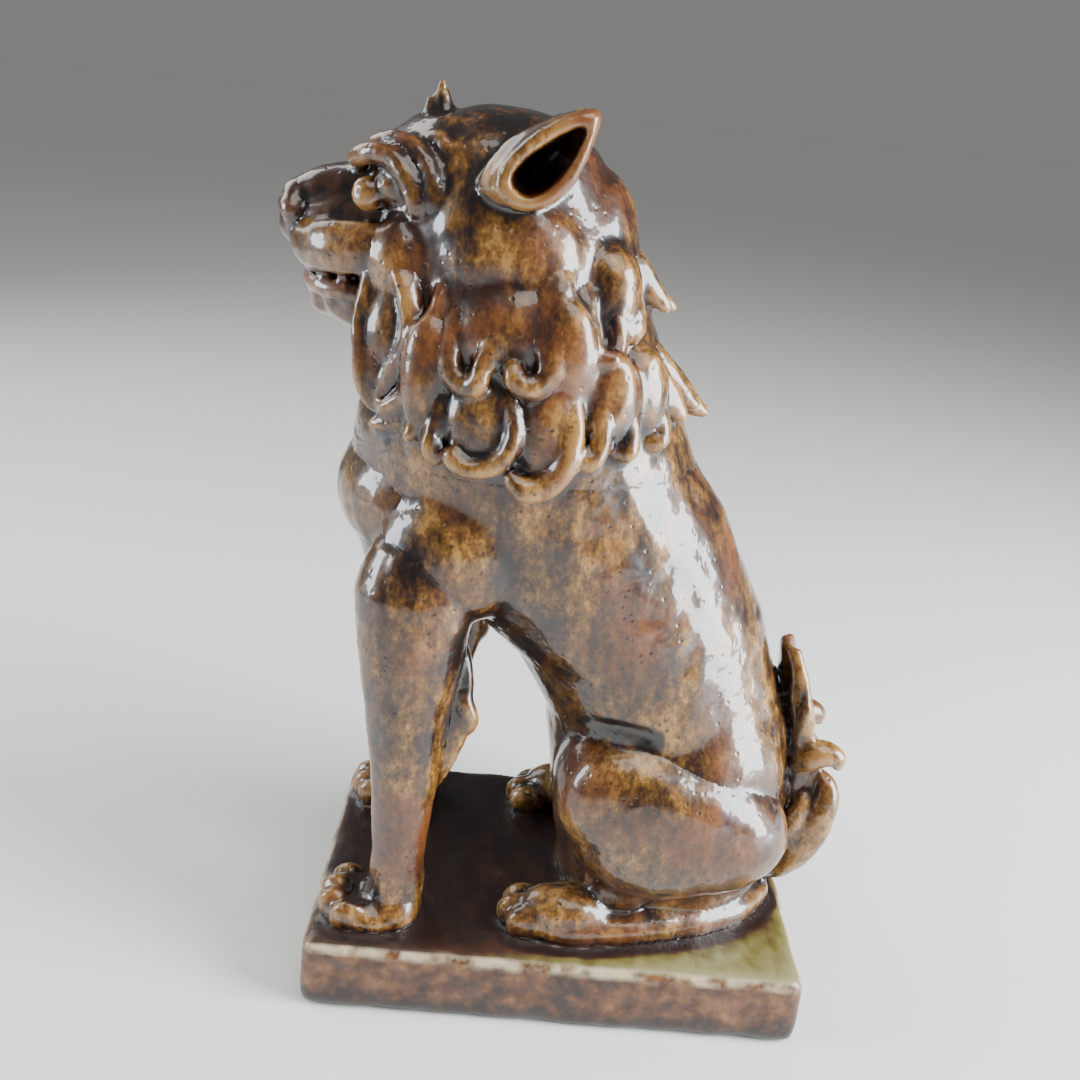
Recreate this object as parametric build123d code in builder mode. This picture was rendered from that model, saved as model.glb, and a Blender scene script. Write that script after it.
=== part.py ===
"""Seated guardian lion-dog, hand-built in stoneware from separate clay pieces luted together.

Frame: millimetres, +Z up, the dog faces -Y and its left side is +X. The origin is the centre
of the plinth's underside. The torso and the head are hollow shells that share one cavity,
which breathes through a vent in the plinth. Every other piece is solid clay, cut to the
surfaces that it is luted to, so that no two pieces overlap.
"""

import os
from math import cos, radians, sin, sqrt

from build123d import *

os.makedirs("parts", exist_ok=True)

# Driving dimensions
PLINTH_LENGTH = 130.0
PLINTH_WIDTH = 86.0
PLINTH_HEIGHT = 20.0
PLINTH_CORNER = 5.0
PLINTH_EDGE = 2.0
VENT_RADIUS = 5.0
VENT_Y = 27.0
WALL = 7.0
NECK_HEIGHT = 144.0
ROLL_STATIONS = 5  # lengths that a roll is divided into
ROLL_END = 0.45  # radius at a roll's two ends, as a share of its full radius

# Horizontal sections of the masses: height, centre Y, half width, half depth
TORSO_SECTIONS = [
    (PLINTH_HEIGHT, 27, 24, 25),
    (35, 29, 29, 31),
    (55, 28.5, 32, 33.5),
    (75, 25, 32, 33),
    (92, 16, 31, 35),
    (106, 5, 31, 41),
    (120, -7.5, 32, 46.5),
    (132, -14.5, 33, 47.5),
    (NECK_HEIGHT, -19.5, 34, 43.5),
]
HEAD_SECTIONS = [
    (NECK_HEIGHT, -19.5, 34, 43.5),
    (155, -20.5, 35, 39.5),
    (168, -22, 34, 35),
    (182, -24.5, 31, 31.5),
    (195, -28, 28, 30),
    (205, -30.5, 25, 27.5),
    (213, -30.5, 21, 23.5),
    (219, -29.5, 14, 16.5),
    (221.5, -29, 6, 7),
]
CROWN_CAVITY_TOP = 206.0
FORELEG_X = 27.0
FORELEG_SECTIONS = [
    (29, -43.5, 7.3, 7.3),
    (40, -42.5, 7, 7),
    (66, -42, 8.5, 9),
    (83, -42.5, 9.5, 10.5),
    (100, -42, 10.5, 13.5),
    (113, -42, 11, 15),
    (124, -40, 9, 12),
]
TAIL_SECTIONS = [(24, 61, 10, 6), (45, 63.5, 14, 7.5), (62, 63, 12.5, 5), (80, 62, 9, 3.2), (97, 58.5, 3, 1.5)]

# Feet: centre X and Y, half width, half length
FORE_PAW = (28.0, -48.0, 11.0, 15.5)
HIND_FOOT = (31.0, 15.0, 10.0, 31.0)
PAW_HEIGHT = 9.0
PAW_EDGE = 2.0
TOES = 3
TOE_RADIUS = 4.6
TOE_PITCH = 7.13
TOE_REACH = 2.76  # from the front of the sole back to the middle toe's centre
TOE_ARC = 0.35  # how far a side toe stands back, as a share of its distance aside

# Lumps of clay: centre, then half sizes along X, Y and Z
CHEST = ((0, -42, 131), (26, 24.5, 17))
JAW = ((0, -60, 174.5), (13, 14.5, 5.8))
JAW_TILT = -12.0
NOSE = ((0, -75, 197.5), (7.5, 4.6, 4.6))
EYE = ((14, -55.5, 202), (4.2, 4.2, 4.2))
HAUNCH = ((21.5, 27, 49.5), (19, 31.5, 29))
HAUNCH_TILT = -8.0

# Sections of the muzzle, square to Y: distance in front, centre Z, half width, half height
MUZZLE_SECTIONS = [(-46, 193, 19, 12), (-60, 193, 15.5, 10), (-71, 192, 11.5, 8.5), (-76, 191.5, 7, 6)]
# Sections of the horn: height, radius
HORN_Y = -45.5
HORN_SECTIONS = [(213, 4.6), (219, 3.9), (223, 2.4), (226, 0.8)]
# Sections of the ear, square to X: centre X, Y and Z, half length, half height
EAR_RISE = 36.0  # degrees that the ear's long way rises to the rear
EAR_SECTIONS = [(14, -25, 207.5, 7.5, 6), (25, -24.5, 210, 11, 8), (33, -23, 212.3, 13.6, 9.6)]
EAR_HOLLOW = [(19, -24, 209.5, 4, 3), (27, -23.5, 211, 8, 5), (34, -22.7, 212.6, 11.4, 7.2)]

# Teeth stand on an oval round a point on the middle line
TEETH_PER_SIDE = 3
TEETH_CENTRE_Y = -60.0
TEETH_HALF_WIDTH = 10.0
TEETH_HALF_DEPTH = 11.5
TOOTH_STEP = 24.0  # degrees between two teeth
TOOTH_RADIUS = 1.7
TOOTH_FOOT = 176.0
TOOTH_LENGTH = 10.0
TOOTH_CRUMB = 4.0  # cubic millimetres under which a cut tooth is left out

# Rolls of the left side: centreline, radius, radius at the end as a share of it
ROLLS = {
    "crown_bud": ([(10, -48, 211), (14.5, -44, 216), (20, -39.5, 215)], 3.2, 0.5),
    "brow": ([(4, -58.5, 206), (11, -59, 209), (17, -54.5, 209.5), (20.5, -50, 205), (21, -49, 199.5)], 3.1, 1),
    "brow_curl": ([(12, -52, 213.5), (18, -47, 212.5), (22.5, -44, 206.5), (23.5, -43, 199.5)], 3.1, 1),
    "elbow_tuft": ([(26, -31, 97), (26, -28, 87), (26, -27.5, 76), (26, -31, 66), (26, -34.5, 61)], 3.4, 0.7),
    "tail_curl": ([(6, 66, 52), (13, 67, 58), (15, 70, 66), (11, 73.5, 66), (9, 74, 61)], 3.6, 0.8),
    "tail_lobe": ([(6, 62, 30), (13, 62, 36), (17, 64, 45), (14, 68.5, 50), (9, 70, 46)], 4.4, 0.8),
    "beard": ([(15, -55, 186), (17, -58.5, 178), (17.5, -58, 169), (17, -56, 161), (15, -55, 154)], 3.3, 0.8),
}
# The upper lip runs from its left corner to its middle
LIP_HALF = [(17.5, -53, 188), (15.5, -63, 187.5), (10, -71, 187)]
LIP_FRONT = (0, -75, 187.5)
LIP_RADIUS = 4.2

# Mane locks of the left side: centreline as (Y, Z) on the flank, then the radius
MANE_LOCKS = {
    "jaw": ([(-51, 190), (-46.5, 185), (-45, 177), (-46.5, 169), (-50, 161)], 3.4),
    "cheek": ([(-42, 194), (-40, 184), (-37.5, 174), (-35, 168), (-31, 165), (-27.5, 168)], 3.4),
    "ear": ([(-20, 197), (-15.5, 187), (-12.5, 178), (-13.5, 170), (-19, 167), (-22, 171)], 4.2),
    "nape": ([(-9, 195), (-5.5, 186), (-4, 179), (-6.5, 174)], 3.6),
    "throat": ([(-40, 167), (-39.5, 160), (-41, 152), (-44, 148)], 3.6),
    "shoulder": ([(-27, 163), (-22.5, 158), (-24, 150.5), (-30, 147.5), (-35, 151)], 3.6),
    "withers": ([(-11, 168), (-7.5, 160), (-9, 151.5), (-15, 147), (-20, 149.5)], 4.0),
    "flank": ([(-2, 171), (0.5, 162), (-1, 154.5), (-5.5, 152)], 3.4),
    "collar": ([(4, 172), (7, 164), (7, 157), (3.5, 154)], 3.3),
    "crest": ([(-2, 192), (1, 186), (3, 180), (0.5, 176)], 3.3),
}
LOCK_STANDOFF = 0.35  # how far a lock's centreline stands off the flank, as a share of its radius
LOCK_TAPER = 0.85
# Locks on the middle line of the nape: centreline as (Y, Z), all of one radius
RIDGE_LOCKS = [[(-1, 196), (5.5, 188), (10, 180)], [(12, 173), (17, 165), (21, 158.5)]]
RIDGE_RADIUS = 3.2
RIDGE_TAPER = 0.6

laid = []  # what later pieces are cut to


def keep(name, shape, filled=None):
    """Writes one finished piece, and remembers its outer form for the pieces laid on it."""
    shape.label = name
    export_step(shape, f"parts/{name}.step")
    laid.append(filled or shape)


def keep_pair(name, shape):
    """Writes the left piece and its mirror image on the right."""
    keep(f"{name}_left", shape)
    keep(f"{name}_right", mirror(shape, about=Plane.YZ))


def keep_roll_pair(name):
    """Rolls one of the named coils, cuts it to its neighbours and writes the pair."""
    keep_pair(name, cut_to_neighbours(roll(*ROLLS[name])))


def cut_to_neighbours(shape):
    """The shape without the places that earlier pieces already fill."""
    room = shape.bounding_box()
    with BuildPart() as trimmed:
        add(shape)
        for other in laid:
            if room.overlaps(other.bounding_box()):
                add(other, mode=Mode.SUBTRACT)
    return trimmed.part.solids().sort_by(SortBy.VOLUME)[-1]


def level_form(sections, centre_x=0.0, inset=0.0):
    """A closed mass lofted through horizontal ellipses, drawn in from the given sections."""
    with BuildPart() as form:
        for height, centre_y, half_width, half_depth in sections:
            with BuildSketch(Plane((centre_x, centre_y, height))):
                Ellipse(half_width - inset, half_depth - inset)
        loft()
    return form.part


def lump(centre, radii, tilt=0.0):
    """A ball of clay pressed to three half sizes, tipped about X by tilt degrees."""
    with BuildPart() as ball:
        Sphere(1)
        scale(by=radii)
    return ball.part.rotate(Axis.X, tilt).translate(centre)


def roll(points, radius, taper=1.0):
    """A hand-rolled coil of clay along a curve, with eased ends.

    The radius falls to radius * taper at the last point.
    """
    spine = Spline(*points)
    with BuildPart() as coil:
        for step in range(ROLL_STATIONS + 1):
            position = step / ROLL_STATIONS
            ease = ROLL_END if step in (0, ROLL_STATIONS) else 1
            station = spine.location_at(position, frame_method=FrameMethod.CORRECTED)
            with BuildSketch(Plane(station)):
                Circle(radius * ease * (1 + (taper - 1) * position))
        loft()
    return coil.part


def flank_x(y, z):
    """How far the torso or the head reaches in X at a place seen from the side."""
    sections = TORSO_SECTIONS + HEAD_SECTIONS[1:]
    for low, high in zip(sections, sections[1:]):
        if low[0] <= z <= high[0]:
            share = (z - low[0]) / (high[0] - low[0])
            centre, width, depth = (a + (b - a) * share for a, b in zip(low[1:], high[1:]))
            return width * sqrt(max(0.05, 1 - ((y - centre) / depth) ** 2))
    raise ValueError(f"no section at height {z}")


# --- Plinth: a thick slab with a vent up to the cavity ---
with BuildPart() as plinth:
    with BuildSketch():
        RectangleRounded(PLINTH_WIDTH, PLINTH_LENGTH, PLINTH_CORNER)
    extrude(amount=PLINTH_HEIGHT)
    fillet(plinth.faces().sort_by(Axis.Z)[-1].edges(), PLINTH_EDGE)
    with Locations((0, VENT_Y, PLINTH_HEIGHT)):
        Hole(VENT_RADIUS)
keep("plinth", plinth.part)

# --- Torso and head: two shells that meet at the neck and share one cavity ---
torso_form = level_form(TORSO_SECTIONS)
with BuildPart() as torso:
    add(torso_form)
    add(level_form(TORSO_SECTIONS, inset=WALL), mode=Mode.SUBTRACT)
keep("torso", torso.part, filled=torso_form)

head_form = level_form(HEAD_SECTIONS)
head_cavity = [section for section in HEAD_SECTIONS if section[0] < CROWN_CAVITY_TOP]
with BuildPart() as head:
    add(head_form)
    add(level_form(head_cavity, inset=WALL), mode=Mode.SUBTRACT)
keep("head", head.part, filled=head_form)

keep("chest", cut_to_neighbours(lump(*CHEST)))

# --- Face: muzzle, lips, jaw, teeth and nose ---
with BuildPart() as muzzle:
    for front, height, half_width, half_height in MUZZLE_SECTIONS:
        with BuildSketch(Plane((0, front, height), x_dir=(1, 0, 0), z_dir=(0, -1, 0))):
            Ellipse(half_width, half_height)
    loft()
keep("muzzle", cut_to_neighbours(muzzle.part))

other_half = [(-x, y, z) for x, y, z in reversed(LIP_HALF)]
keep("upper_lip", cut_to_neighbours(roll(LIP_HALF + [LIP_FRONT] + other_half, LIP_RADIUS)))
keep("jaw", cut_to_neighbours(lump(*JAW, tilt=JAW_TILT)))
keep("nose", cut_to_neighbours(lump(*NOSE)))

with BuildPart() as teeth:
    for step in range(-TEETH_PER_SIDE, TEETH_PER_SIDE + 1):
        angle = radians(TOOTH_STEP * step)
        place = (TEETH_HALF_WIDTH * sin(angle), TEETH_CENTRE_Y - TEETH_HALF_DEPTH * cos(angle), TOOTH_FOOT)
        with BuildSketch(Plane(place)):
            Circle(TOOTH_RADIUS)
        extrude(amount=TOOTH_LENGTH)
with BuildPart() as teeth_cut:
    add(teeth.part)
    for neighbour in laid[1:]:
        add(neighbour, mode=Mode.SUBTRACT)
whole_teeth = teeth_cut.part.solids().filter_by(lambda tooth: tooth.volume > TOOTH_CRUMB)
keep("teeth", Compound(children=whole_teeth))

# --- Crown, brows, eyes and ears ---
with BuildPart() as horn:
    for height, radius in HORN_SECTIONS:
        with BuildSketch(Plane((0, HORN_Y, height))):
            Circle(radius)
    loft()
keep("horn", cut_to_neighbours(horn.part))
keep_roll_pair("crown_bud")
keep_pair("eye", cut_to_neighbours(lump(*EYE)))
keep_roll_pair("brow")
keep_roll_pair("brow_curl")


def ear_cone(sections):
    """A cone that opens outwards, its long way rising to the rear."""
    with BuildPart() as cone:
        for x, y, z, half_length, half_height in sections:
            rising = (0, cos(radians(EAR_RISE)), sin(radians(EAR_RISE)))
            with BuildSketch(Plane((x, y, z), x_dir=rising, z_dir=(1, 0, 0))):
                Ellipse(half_length, half_height)
        loft()
    return cone.part


with BuildPart() as ear:
    add(ear_cone(EAR_SECTIONS))
    add(ear_cone(EAR_HOLLOW), mode=Mode.SUBTRACT)
keep_pair("ear", cut_to_neighbours(ear.part))


# --- Legs ---
def paw(centre_x, centre_y, half_width, half_length):
    """A flat foot on the plinth, with an arc of round toes at its front."""
    with BuildPart() as foot:
        with BuildSketch(Plane.XY.offset(PLINTH_HEIGHT)):
            with Locations((centre_x, centre_y)):
                Ellipse(half_width, half_length)
            for step in range(TOES):
                aside = (step - (TOES - 1) / 2) * TOE_PITCH
                front = centre_y - half_length + TOE_REACH + abs(aside) * TOE_ARC
                with Locations((centre_x + aside, front)):
                    Circle(TOE_RADIUS)
        extrude(amount=PAW_HEIGHT)
        fillet(foot.faces().sort_by(Axis.Z)[-1].edges(), PAW_EDGE)
    return foot.part


keep_pair("haunch", cut_to_neighbours(lump(*HAUNCH, tilt=HAUNCH_TILT)))
keep_pair("hind_foot", cut_to_neighbours(paw(*HIND_FOOT)))
keep_pair("foreleg", cut_to_neighbours(level_form(FORELEG_SECTIONS, centre_x=FORELEG_X)))
keep_pair("fore_paw", paw(*FORE_PAW))
keep_roll_pair("elbow_tuft")

# --- Tail: an upright leaf with two pairs of curls ---
with BuildPart() as tail:
    for height, centre_y, half_width, half_depth in TAIL_SECTIONS:
        with BuildSketch(Plane((0, centre_y, height))):
            Ellipse(half_width, half_depth)
    loft()
keep("tail_leaf", cut_to_neighbours(tail.part))
keep_roll_pair("tail_curl")
keep_roll_pair("tail_lobe")

# --- Beard and mane: hooked locks in two tiers ---
keep_roll_pair("beard")
for name, (centreline, radius) in MANE_LOCKS.items():
    points = [(flank_x(y, z) + LOCK_STANDOFF * radius, y, z) for y, z in centreline]
    keep_pair(f"mane_lock_{name}", cut_to_neighbours(roll(points, radius, LOCK_TAPER)))

ridge_locks = []
for centreline in RIDGE_LOCKS:
    lock = roll([(0, y, z) for y, z in centreline], RIDGE_RADIUS, RIDGE_TAPER)
    ridge_locks.append(cut_to_neighbours(lock))
keep("mane_locks_ridge", Compound(children=ridge_locks))
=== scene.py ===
"""Seated guardian lion-dog in ash-glazed stoneware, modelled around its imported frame.

The clay is shaped on a bench in millimetres, piece by piece, as a potter would: balls, coils
and stacked masses are fused, then luted together, glazed and set down in metres.
"""

import logging
from dataclasses import dataclass, field
from enum import Enum
from math import cos, pi, radians, sin
from typing import Sequence

import bmesh
import bpy
import numpy as np
from bpy.types import Material, NodeSocket, Object, ShaderNode
from mathutils import Matrix, Quaternion, Vector
from mathutils.bvhtree import BVHTree


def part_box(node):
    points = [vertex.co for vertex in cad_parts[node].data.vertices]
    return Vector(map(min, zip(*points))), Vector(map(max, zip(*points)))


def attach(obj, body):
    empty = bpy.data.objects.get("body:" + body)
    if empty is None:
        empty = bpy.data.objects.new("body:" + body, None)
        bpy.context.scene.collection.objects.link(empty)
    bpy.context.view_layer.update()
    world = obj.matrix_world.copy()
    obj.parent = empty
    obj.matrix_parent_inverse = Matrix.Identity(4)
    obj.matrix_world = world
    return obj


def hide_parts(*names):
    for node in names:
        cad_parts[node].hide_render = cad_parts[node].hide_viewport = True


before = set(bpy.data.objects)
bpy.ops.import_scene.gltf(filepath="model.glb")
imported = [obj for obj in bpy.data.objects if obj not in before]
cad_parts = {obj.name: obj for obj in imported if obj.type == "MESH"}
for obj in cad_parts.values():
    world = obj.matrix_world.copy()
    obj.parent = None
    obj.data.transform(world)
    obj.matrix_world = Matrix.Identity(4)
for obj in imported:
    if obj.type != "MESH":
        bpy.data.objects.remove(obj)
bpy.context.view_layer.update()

LOG = logging.getLogger("guardian_dog")
MM = 0.001

Point = tuple[float, float, float]
Path = Sequence[Point]
Outline = Sequence[tuple[float, float]]
Colour = tuple[float, float, float]
Stops = Sequence[tuple[float, Colour]]

UP: Point = (0, 0, 1)
BLACK: Colour = (0, 0, 0)
WHITE: Colour = (1, 1, 1)
END_SHARES = (0.45, 0.8)
LEAST_SIDE = 0.05


class Slot(Enum):
    """The record's material slots."""

    ASH = "ash_glaze"
    IRON = "iron_glaze"
    PLINTH = "plinth_glaze"


class Finish(Enum):
    """How a piece is glazed."""

    ASH = "ash"
    IRON = "iron"
    MOUTH = "mouth"
    PLINTH = "plinth"


# --- The bench: how clay is shaped ---------------------------------------------------------


def select_only(piece: Object) -> None:
    """Deselects everything, then selects one object and makes it active.

    Args:
        piece: The object to select.
    """
    bpy.ops.object.select_all(action="DESELECT")
    piece.select_set(True)
    bpy.context.view_layer.objects.active = piece


def apply_modifier(piece: Object, kind: str, **settings: object) -> None:
    """Adds one modifier to a piece and applies it at once.

    Args:
        piece: The object to change.
        kind: Blender's name for the modifier's type.
        **settings: The modifier's own properties.
    """
    select_only(piece)
    modifier = piece.modifiers.new(kind.title(), kind)
    for key, value in settings.items():
        setattr(modifier, key, value)
    bpy.ops.object.modifier_apply(modifier=modifier.name)


def box_mm(node: str) -> tuple[Vector, Vector]:
    """A CAD node's lowest and highest corners, in millimetres."""
    low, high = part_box(node)
    return low / MM, high / MM


def curve(before: Vector, start: Vector, end: Vector, after: Vector, t: float) -> Vector:
    """Finds a place on the smooth curve from one point to the next.

    Args:
        before: The point before the start.
        start: The point where the span starts.
        end: The point where the span ends.
        after: The point after the end.
        t: How far along the span the place lies, from 0 to 1.

    Returns:
        The place.
    """
    return 0.5 * (2 * start + (end - before) * t
                  + (2 * before - 5 * start + 4 * end - after) * t * t
                  + (3 * start - before - 3 * end + after) * t ** 3)


def smooth_path(points: Path, radii: Sequence[float], steps: int) -> list[tuple[Vector, float]]:
    """Runs a Catmull-Rom curve through a few points.

    Args:
        points: The points that the curve passes through.
        radii: A radius at each point.
        steps: How many stations each span is divided into.

    Returns:
        The stations along the curve, each with its radius.
    """
    places = [Vector((*point, radius)) for point, radius in zip(points, radii)]
    places = [2 * places[0] - places[1], *places, 2 * places[-1] - places[-2]]
    stations = []
    for index in range(1, len(places) - 2):
        before, start, end, after = places[index - 1:index + 3]
        for step in range(steps):
            place = curve(before, start, end, after, step / steps)
            stations.append((place.xyz, place.w))
    stations.append((places[-2].xyz, places[-2].w))
    return stations


def ring_body(frames: Sequence[Matrix], sides: int = 16, flutes: int = 0, depth: float = 0.2) -> Object:
    """Extrudes a disc from ring to ring into a closed body.

    Args:
        frames: Where each ring lies, as a matrix that takes the unit circle there.
        sides: How many points a ring has.
        flutes: How many grooves run along the body.
        depth: How deep a groove is, as a share of the radius.

    Returns:
        The new object, in millimetres.
    """
    bpy.ops.object.select_all(action="DESELECT")
    bpy.ops.mesh.primitive_circle_add(vertices=sides, radius=1, fill_type="NGON")
    body = bpy.context.object
    bpy.ops.object.mode_set(mode="EDIT")
    mesh = bmesh.from_edit_mesh(body.data)
    if flutes:
        mesh.verts.ensure_lookup_table()
        for index, vertex in enumerate(mesh.verts):
            groove = 0.5 + 0.5 * cos(2 * pi * flutes * index / sides)
            vertex.co *= 1 - depth * groove
    bmesh.ops.transform(mesh, matrix=frames[0], verts=list(mesh.verts))
    for last, current in zip(frames, frames[1:]):
        bpy.ops.mesh.extrude_region_move()
        mesh = bmesh.from_edit_mesh(body.data)
        ring = [vertex for vertex in mesh.verts if vertex.select]
        bmesh.ops.transform(mesh, matrix=current @ last.inverted(), verts=ring)
        bmesh.update_edit_mesh(body.data)
    bpy.ops.mesh.select_all(action="SELECT")
    bpy.ops.mesh.normals_make_consistent(inside=False)
    bpy.ops.object.mode_set(mode="OBJECT")
    return body


def coil(points: Path, radii: float | Sequence[float], flat: float = 1.0,
         across: Point = (1, 0, 0), sides: int = 14, flutes: int = 0, steps: int = 4) -> Object:
    """Rolls a coil of clay along a curve, with round ends.

    Args:
        points: The points that its middle line passes through.
        radii: One radius, or one at each point.
        flat: The section's size along the across direction, as a share of the radius.
        across: The direction in which the section is flattened.
        sides: How many points a ring has.
        flutes: How many grooves run along the coil.
        steps: How many rings each span gets.

    Returns:
        The coil, in millimetres.
    """
    sizes = [radii] * len(points) if isinstance(radii, (int, float)) else radii
    stations = smooth_path(points, sizes, steps)
    tangents = []
    for index, _ in enumerate(stations):
        ahead = stations[min(index + 1, len(stations) - 1)][0]
        behind = stations[max(index - 1, 0)][0]
        tangents.append((ahead - behind).normalized())
    rings = [(*stations[0], tangents[0], share) for share in END_SHARES]
    rings += [(place, size, tangent, 1.0) for (place, size), tangent in zip(stations, tangents)]
    rings += [(*stations[-1], tangents[-1], share) for share in reversed(END_SHARES)]
    frames = []
    for index, (place, size, tangent, share) in enumerate(rings):
        side = Vector(across) - tangent * tangent.dot(Vector(across))
        side = side.normalized() if side.length > LEAST_SIDE else tangent.orthogonal().normalized()
        rise = tangent.cross(side)
        outward = -1 if index < len(END_SHARES) else 1 if index >= len(rings) - len(END_SHARES) else 0
        overhang = (1 - share * share) ** 0.5 * size * outward
        turn = Matrix((side, rise, tangent)).transposed().to_4x4()
        scale = Matrix.Diagonal((size * share * flat, size * share, 1, 1))
        frames.append(Matrix.Translation(place + tangent * overhang) @ turn @ scale)
    return ring_body(frames, sides, flutes)


def outline_body(rings: Sequence[tuple[float, Outline]], sides: int = 36) -> Object:
    """Extrudes a freely drawn outline outwards along X.

    Args:
        rings: For each ring its X and its outline, as Y and Z pairs around the loop.
        sides: How many points a ring has.

    Returns:
        The closed body, in millimetres.
    """
    bpy.ops.object.select_all(action="DESELECT")
    bpy.ops.mesh.primitive_circle_add(vertices=sides, radius=1, fill_type="NGON")
    body = bpy.context.object
    bpy.ops.object.mode_set(mode="EDIT")
    mesh = bmesh.from_edit_mesh(body.data)
    mesh.verts.ensure_lookup_table()
    ring = list(mesh.verts)
    for step, (x, outline) in enumerate(rings):
        if step:
            bpy.ops.mesh.extrude_region_move()
            mesh = bmesh.from_edit_mesh(body.data)
            ring = [vertex for vertex in mesh.verts if vertex.select]
        loop = smooth_loop(outline, sides)
        ring.sort(key=lambda vertex: vertex.index % sides)
        for vertex, (y, z) in zip(ring, loop):
            vertex.co = (x, y, z)
        bmesh.update_edit_mesh(body.data)
    bpy.ops.mesh.select_all(action="SELECT")
    bpy.ops.mesh.normals_make_consistent(inside=False)
    bpy.ops.object.mode_set(mode="OBJECT")
    return body


def scaled(outline: Outline, share: float) -> Outline:
    """Shrinks or widens an outline about its middle.

    Args:
        outline: The outline's points.
        share: Its new size, as a share of the old one.

    Returns:
        The new outline.
    """
    if share == 1:
        return outline
    middle = sum((Vector(point) for point in outline), Vector((0, 0))) / len(outline)
    return [tuple(middle + (Vector(point) - middle) * share) for point in outline]


def smooth_loop(outline: Outline, sides: int) -> Outline:
    """Runs a closed smooth curve through an outline.

    Args:
        outline: The points that it passes through.
        sides: How many points are wanted.

    Returns:
        The points along the curve.
    """
    count = len(outline)
    loop = []
    for index in range(sides):
        place = index * count / sides
        start, t = int(place), place % 1
        before, near, far, after = (Vector(outline[(start + k) % count]) for k in (-1, 0, 1, 2))
        loop.append(tuple(curve(before, near, far, after, t)))
    return loop


def mass(stations: Sequence[tuple[float, float, float, float, float]], sides: int = 32) -> Object:
    """Stacks level oval rings into a mass.

    Args:
        stations: For each ring its height, centre X, centre Y, half width and half depth.
        sides: How many points a ring has.

    Returns:
        The mass, in millimetres.
    """
    return ring_body([Matrix.Translation((x, y, z)) @ Matrix.Diagonal((wide, deep, 1, 1))
                      for z, x, y, wide, deep in stations], sides)


def ball(centre: Point | Vector, radii: Point, tip: float = 0.0) -> Object:
    """Presses a ball of clay to three half sizes.

    Args:
        centre: Its centre.
        radii: Its half sizes along X, Y and Z.
        tip: Degrees that it is tipped about X.

    Returns:
        The ball, in millimetres.
    """
    bpy.ops.object.select_all(action="DESELECT")
    bpy.ops.mesh.primitive_uv_sphere_add(segments=24, ring_count=14, radius=1, location=centre,
                                         scale=radii, rotation=(radians(tip), 0, 0))
    bpy.ops.object.transform_apply(location=True, rotation=True, scale=True)
    return bpy.context.object


def mirror_path(points: Path) -> Path:
    """The same points on the dog's other side."""
    return [(-x, y, z) for x, y, z in points]


def carried_round(points: Path) -> Path:
    """Carries a path that ends on the middle line on to the dog's other side."""
    return [*points, *mirror_path(points[-2::-1])]


def twin_balls(*lumps: tuple[Point, Point]) -> list[Object]:
    """Presses balls in pairs, one on each side of the dog.

    Args:
        *lumps: The centre and the half sizes of each left ball.

    Returns:
        All the balls.
    """
    balls = []
    for centre, radii in lumps:
        balls += [ball(centre, radii), ball(*mirror_path([centre]), radii)]
    return balls


def join(lumps: Sequence[Object]) -> Object:
    """Joins several objects into one.

    Args:
        lumps: The objects, of which the first one takes in the others.

    Returns:
        The first object.
    """
    bpy.ops.object.select_all(action="DESELECT")
    for lump in lumps:
        lump.select_set(True)
    bpy.context.view_layer.objects.active = lumps[0]
    if len(lumps) > 1:
        bpy.ops.object.join()
    return lumps[0]


def remesh(piece: Object, grain: float, soften: int) -> None:
    """Makes one closed skin of whatever the piece holds, then smooths it.

    Args:
        piece: The object to change.
        grain: The size of a facet, in millimetres.
        soften: How many rounds of smoothing follow.
    """
    apply_modifier(piece, "REMESH", mode="VOXEL", voxel_size=grain * 1.0)
    if soften:
        apply_modifier(piece, "SMOOTH", factor=0.5, iterations=soften)


def fuse(lumps: Sequence[Object], grain: float = 0.8, soften: int = 3,
         tools: Sequence[Object] = ()) -> Object:
    """Works several lumps into one piece of clay, and hollows it with tools.

    Args:
        lumps: Closed objects that overlap.
        grain: The size of a facet, in millimetres.
        soften: How many rounds of smoothing the clay gets.
        tools: Closed objects whose shape is cut out of the clay.

    Returns:
        The finished piece.
    """
    piece = join(lumps)
    remesh(piece, grain, 0 if tools else soften)
    for tool in tools:
        apply_modifier(piece, "BOOLEAN", operation="DIFFERENCE", object=tool, solver="EXACT")
        bpy.data.objects.remove(tool)
    if tools:
        remesh(piece, grain, soften)
    return piece


def mirrored(piece: Object) -> Object:
    """Copies a left piece to the right side, and turns the copy's faces out again.

    Args:
        piece: The left piece.

    Returns:
        The right piece, with a mesh of its own.
    """
    twin = piece.copy()
    twin.data = piece.data.copy()
    bpy.context.scene.collection.objects.link(twin)
    twin.data.transform(Matrix.Diagonal((-1, 1, 1, 1)))
    twin.data.flip_normals()
    return twin


@dataclass
class Piece:
    """One fired piece, the CAD node that it stands for, its slot and its glaze."""

    node: str
    clay: Object
    slot: Slot = Slot.ASH
    finish: Finish = Finish.ASH


def pair(node: str, clay: Object, slot: Slot = Slot.ASH) -> list[Piece]:
    """The left piece and its mirror image, named for their nodes."""
    return [Piece(f"{node}_left", clay, slot), Piece(f"{node}_right", mirrored(clay), slot)]


# --- The dog's pieces -----------------------------------------------------------------------


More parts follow.
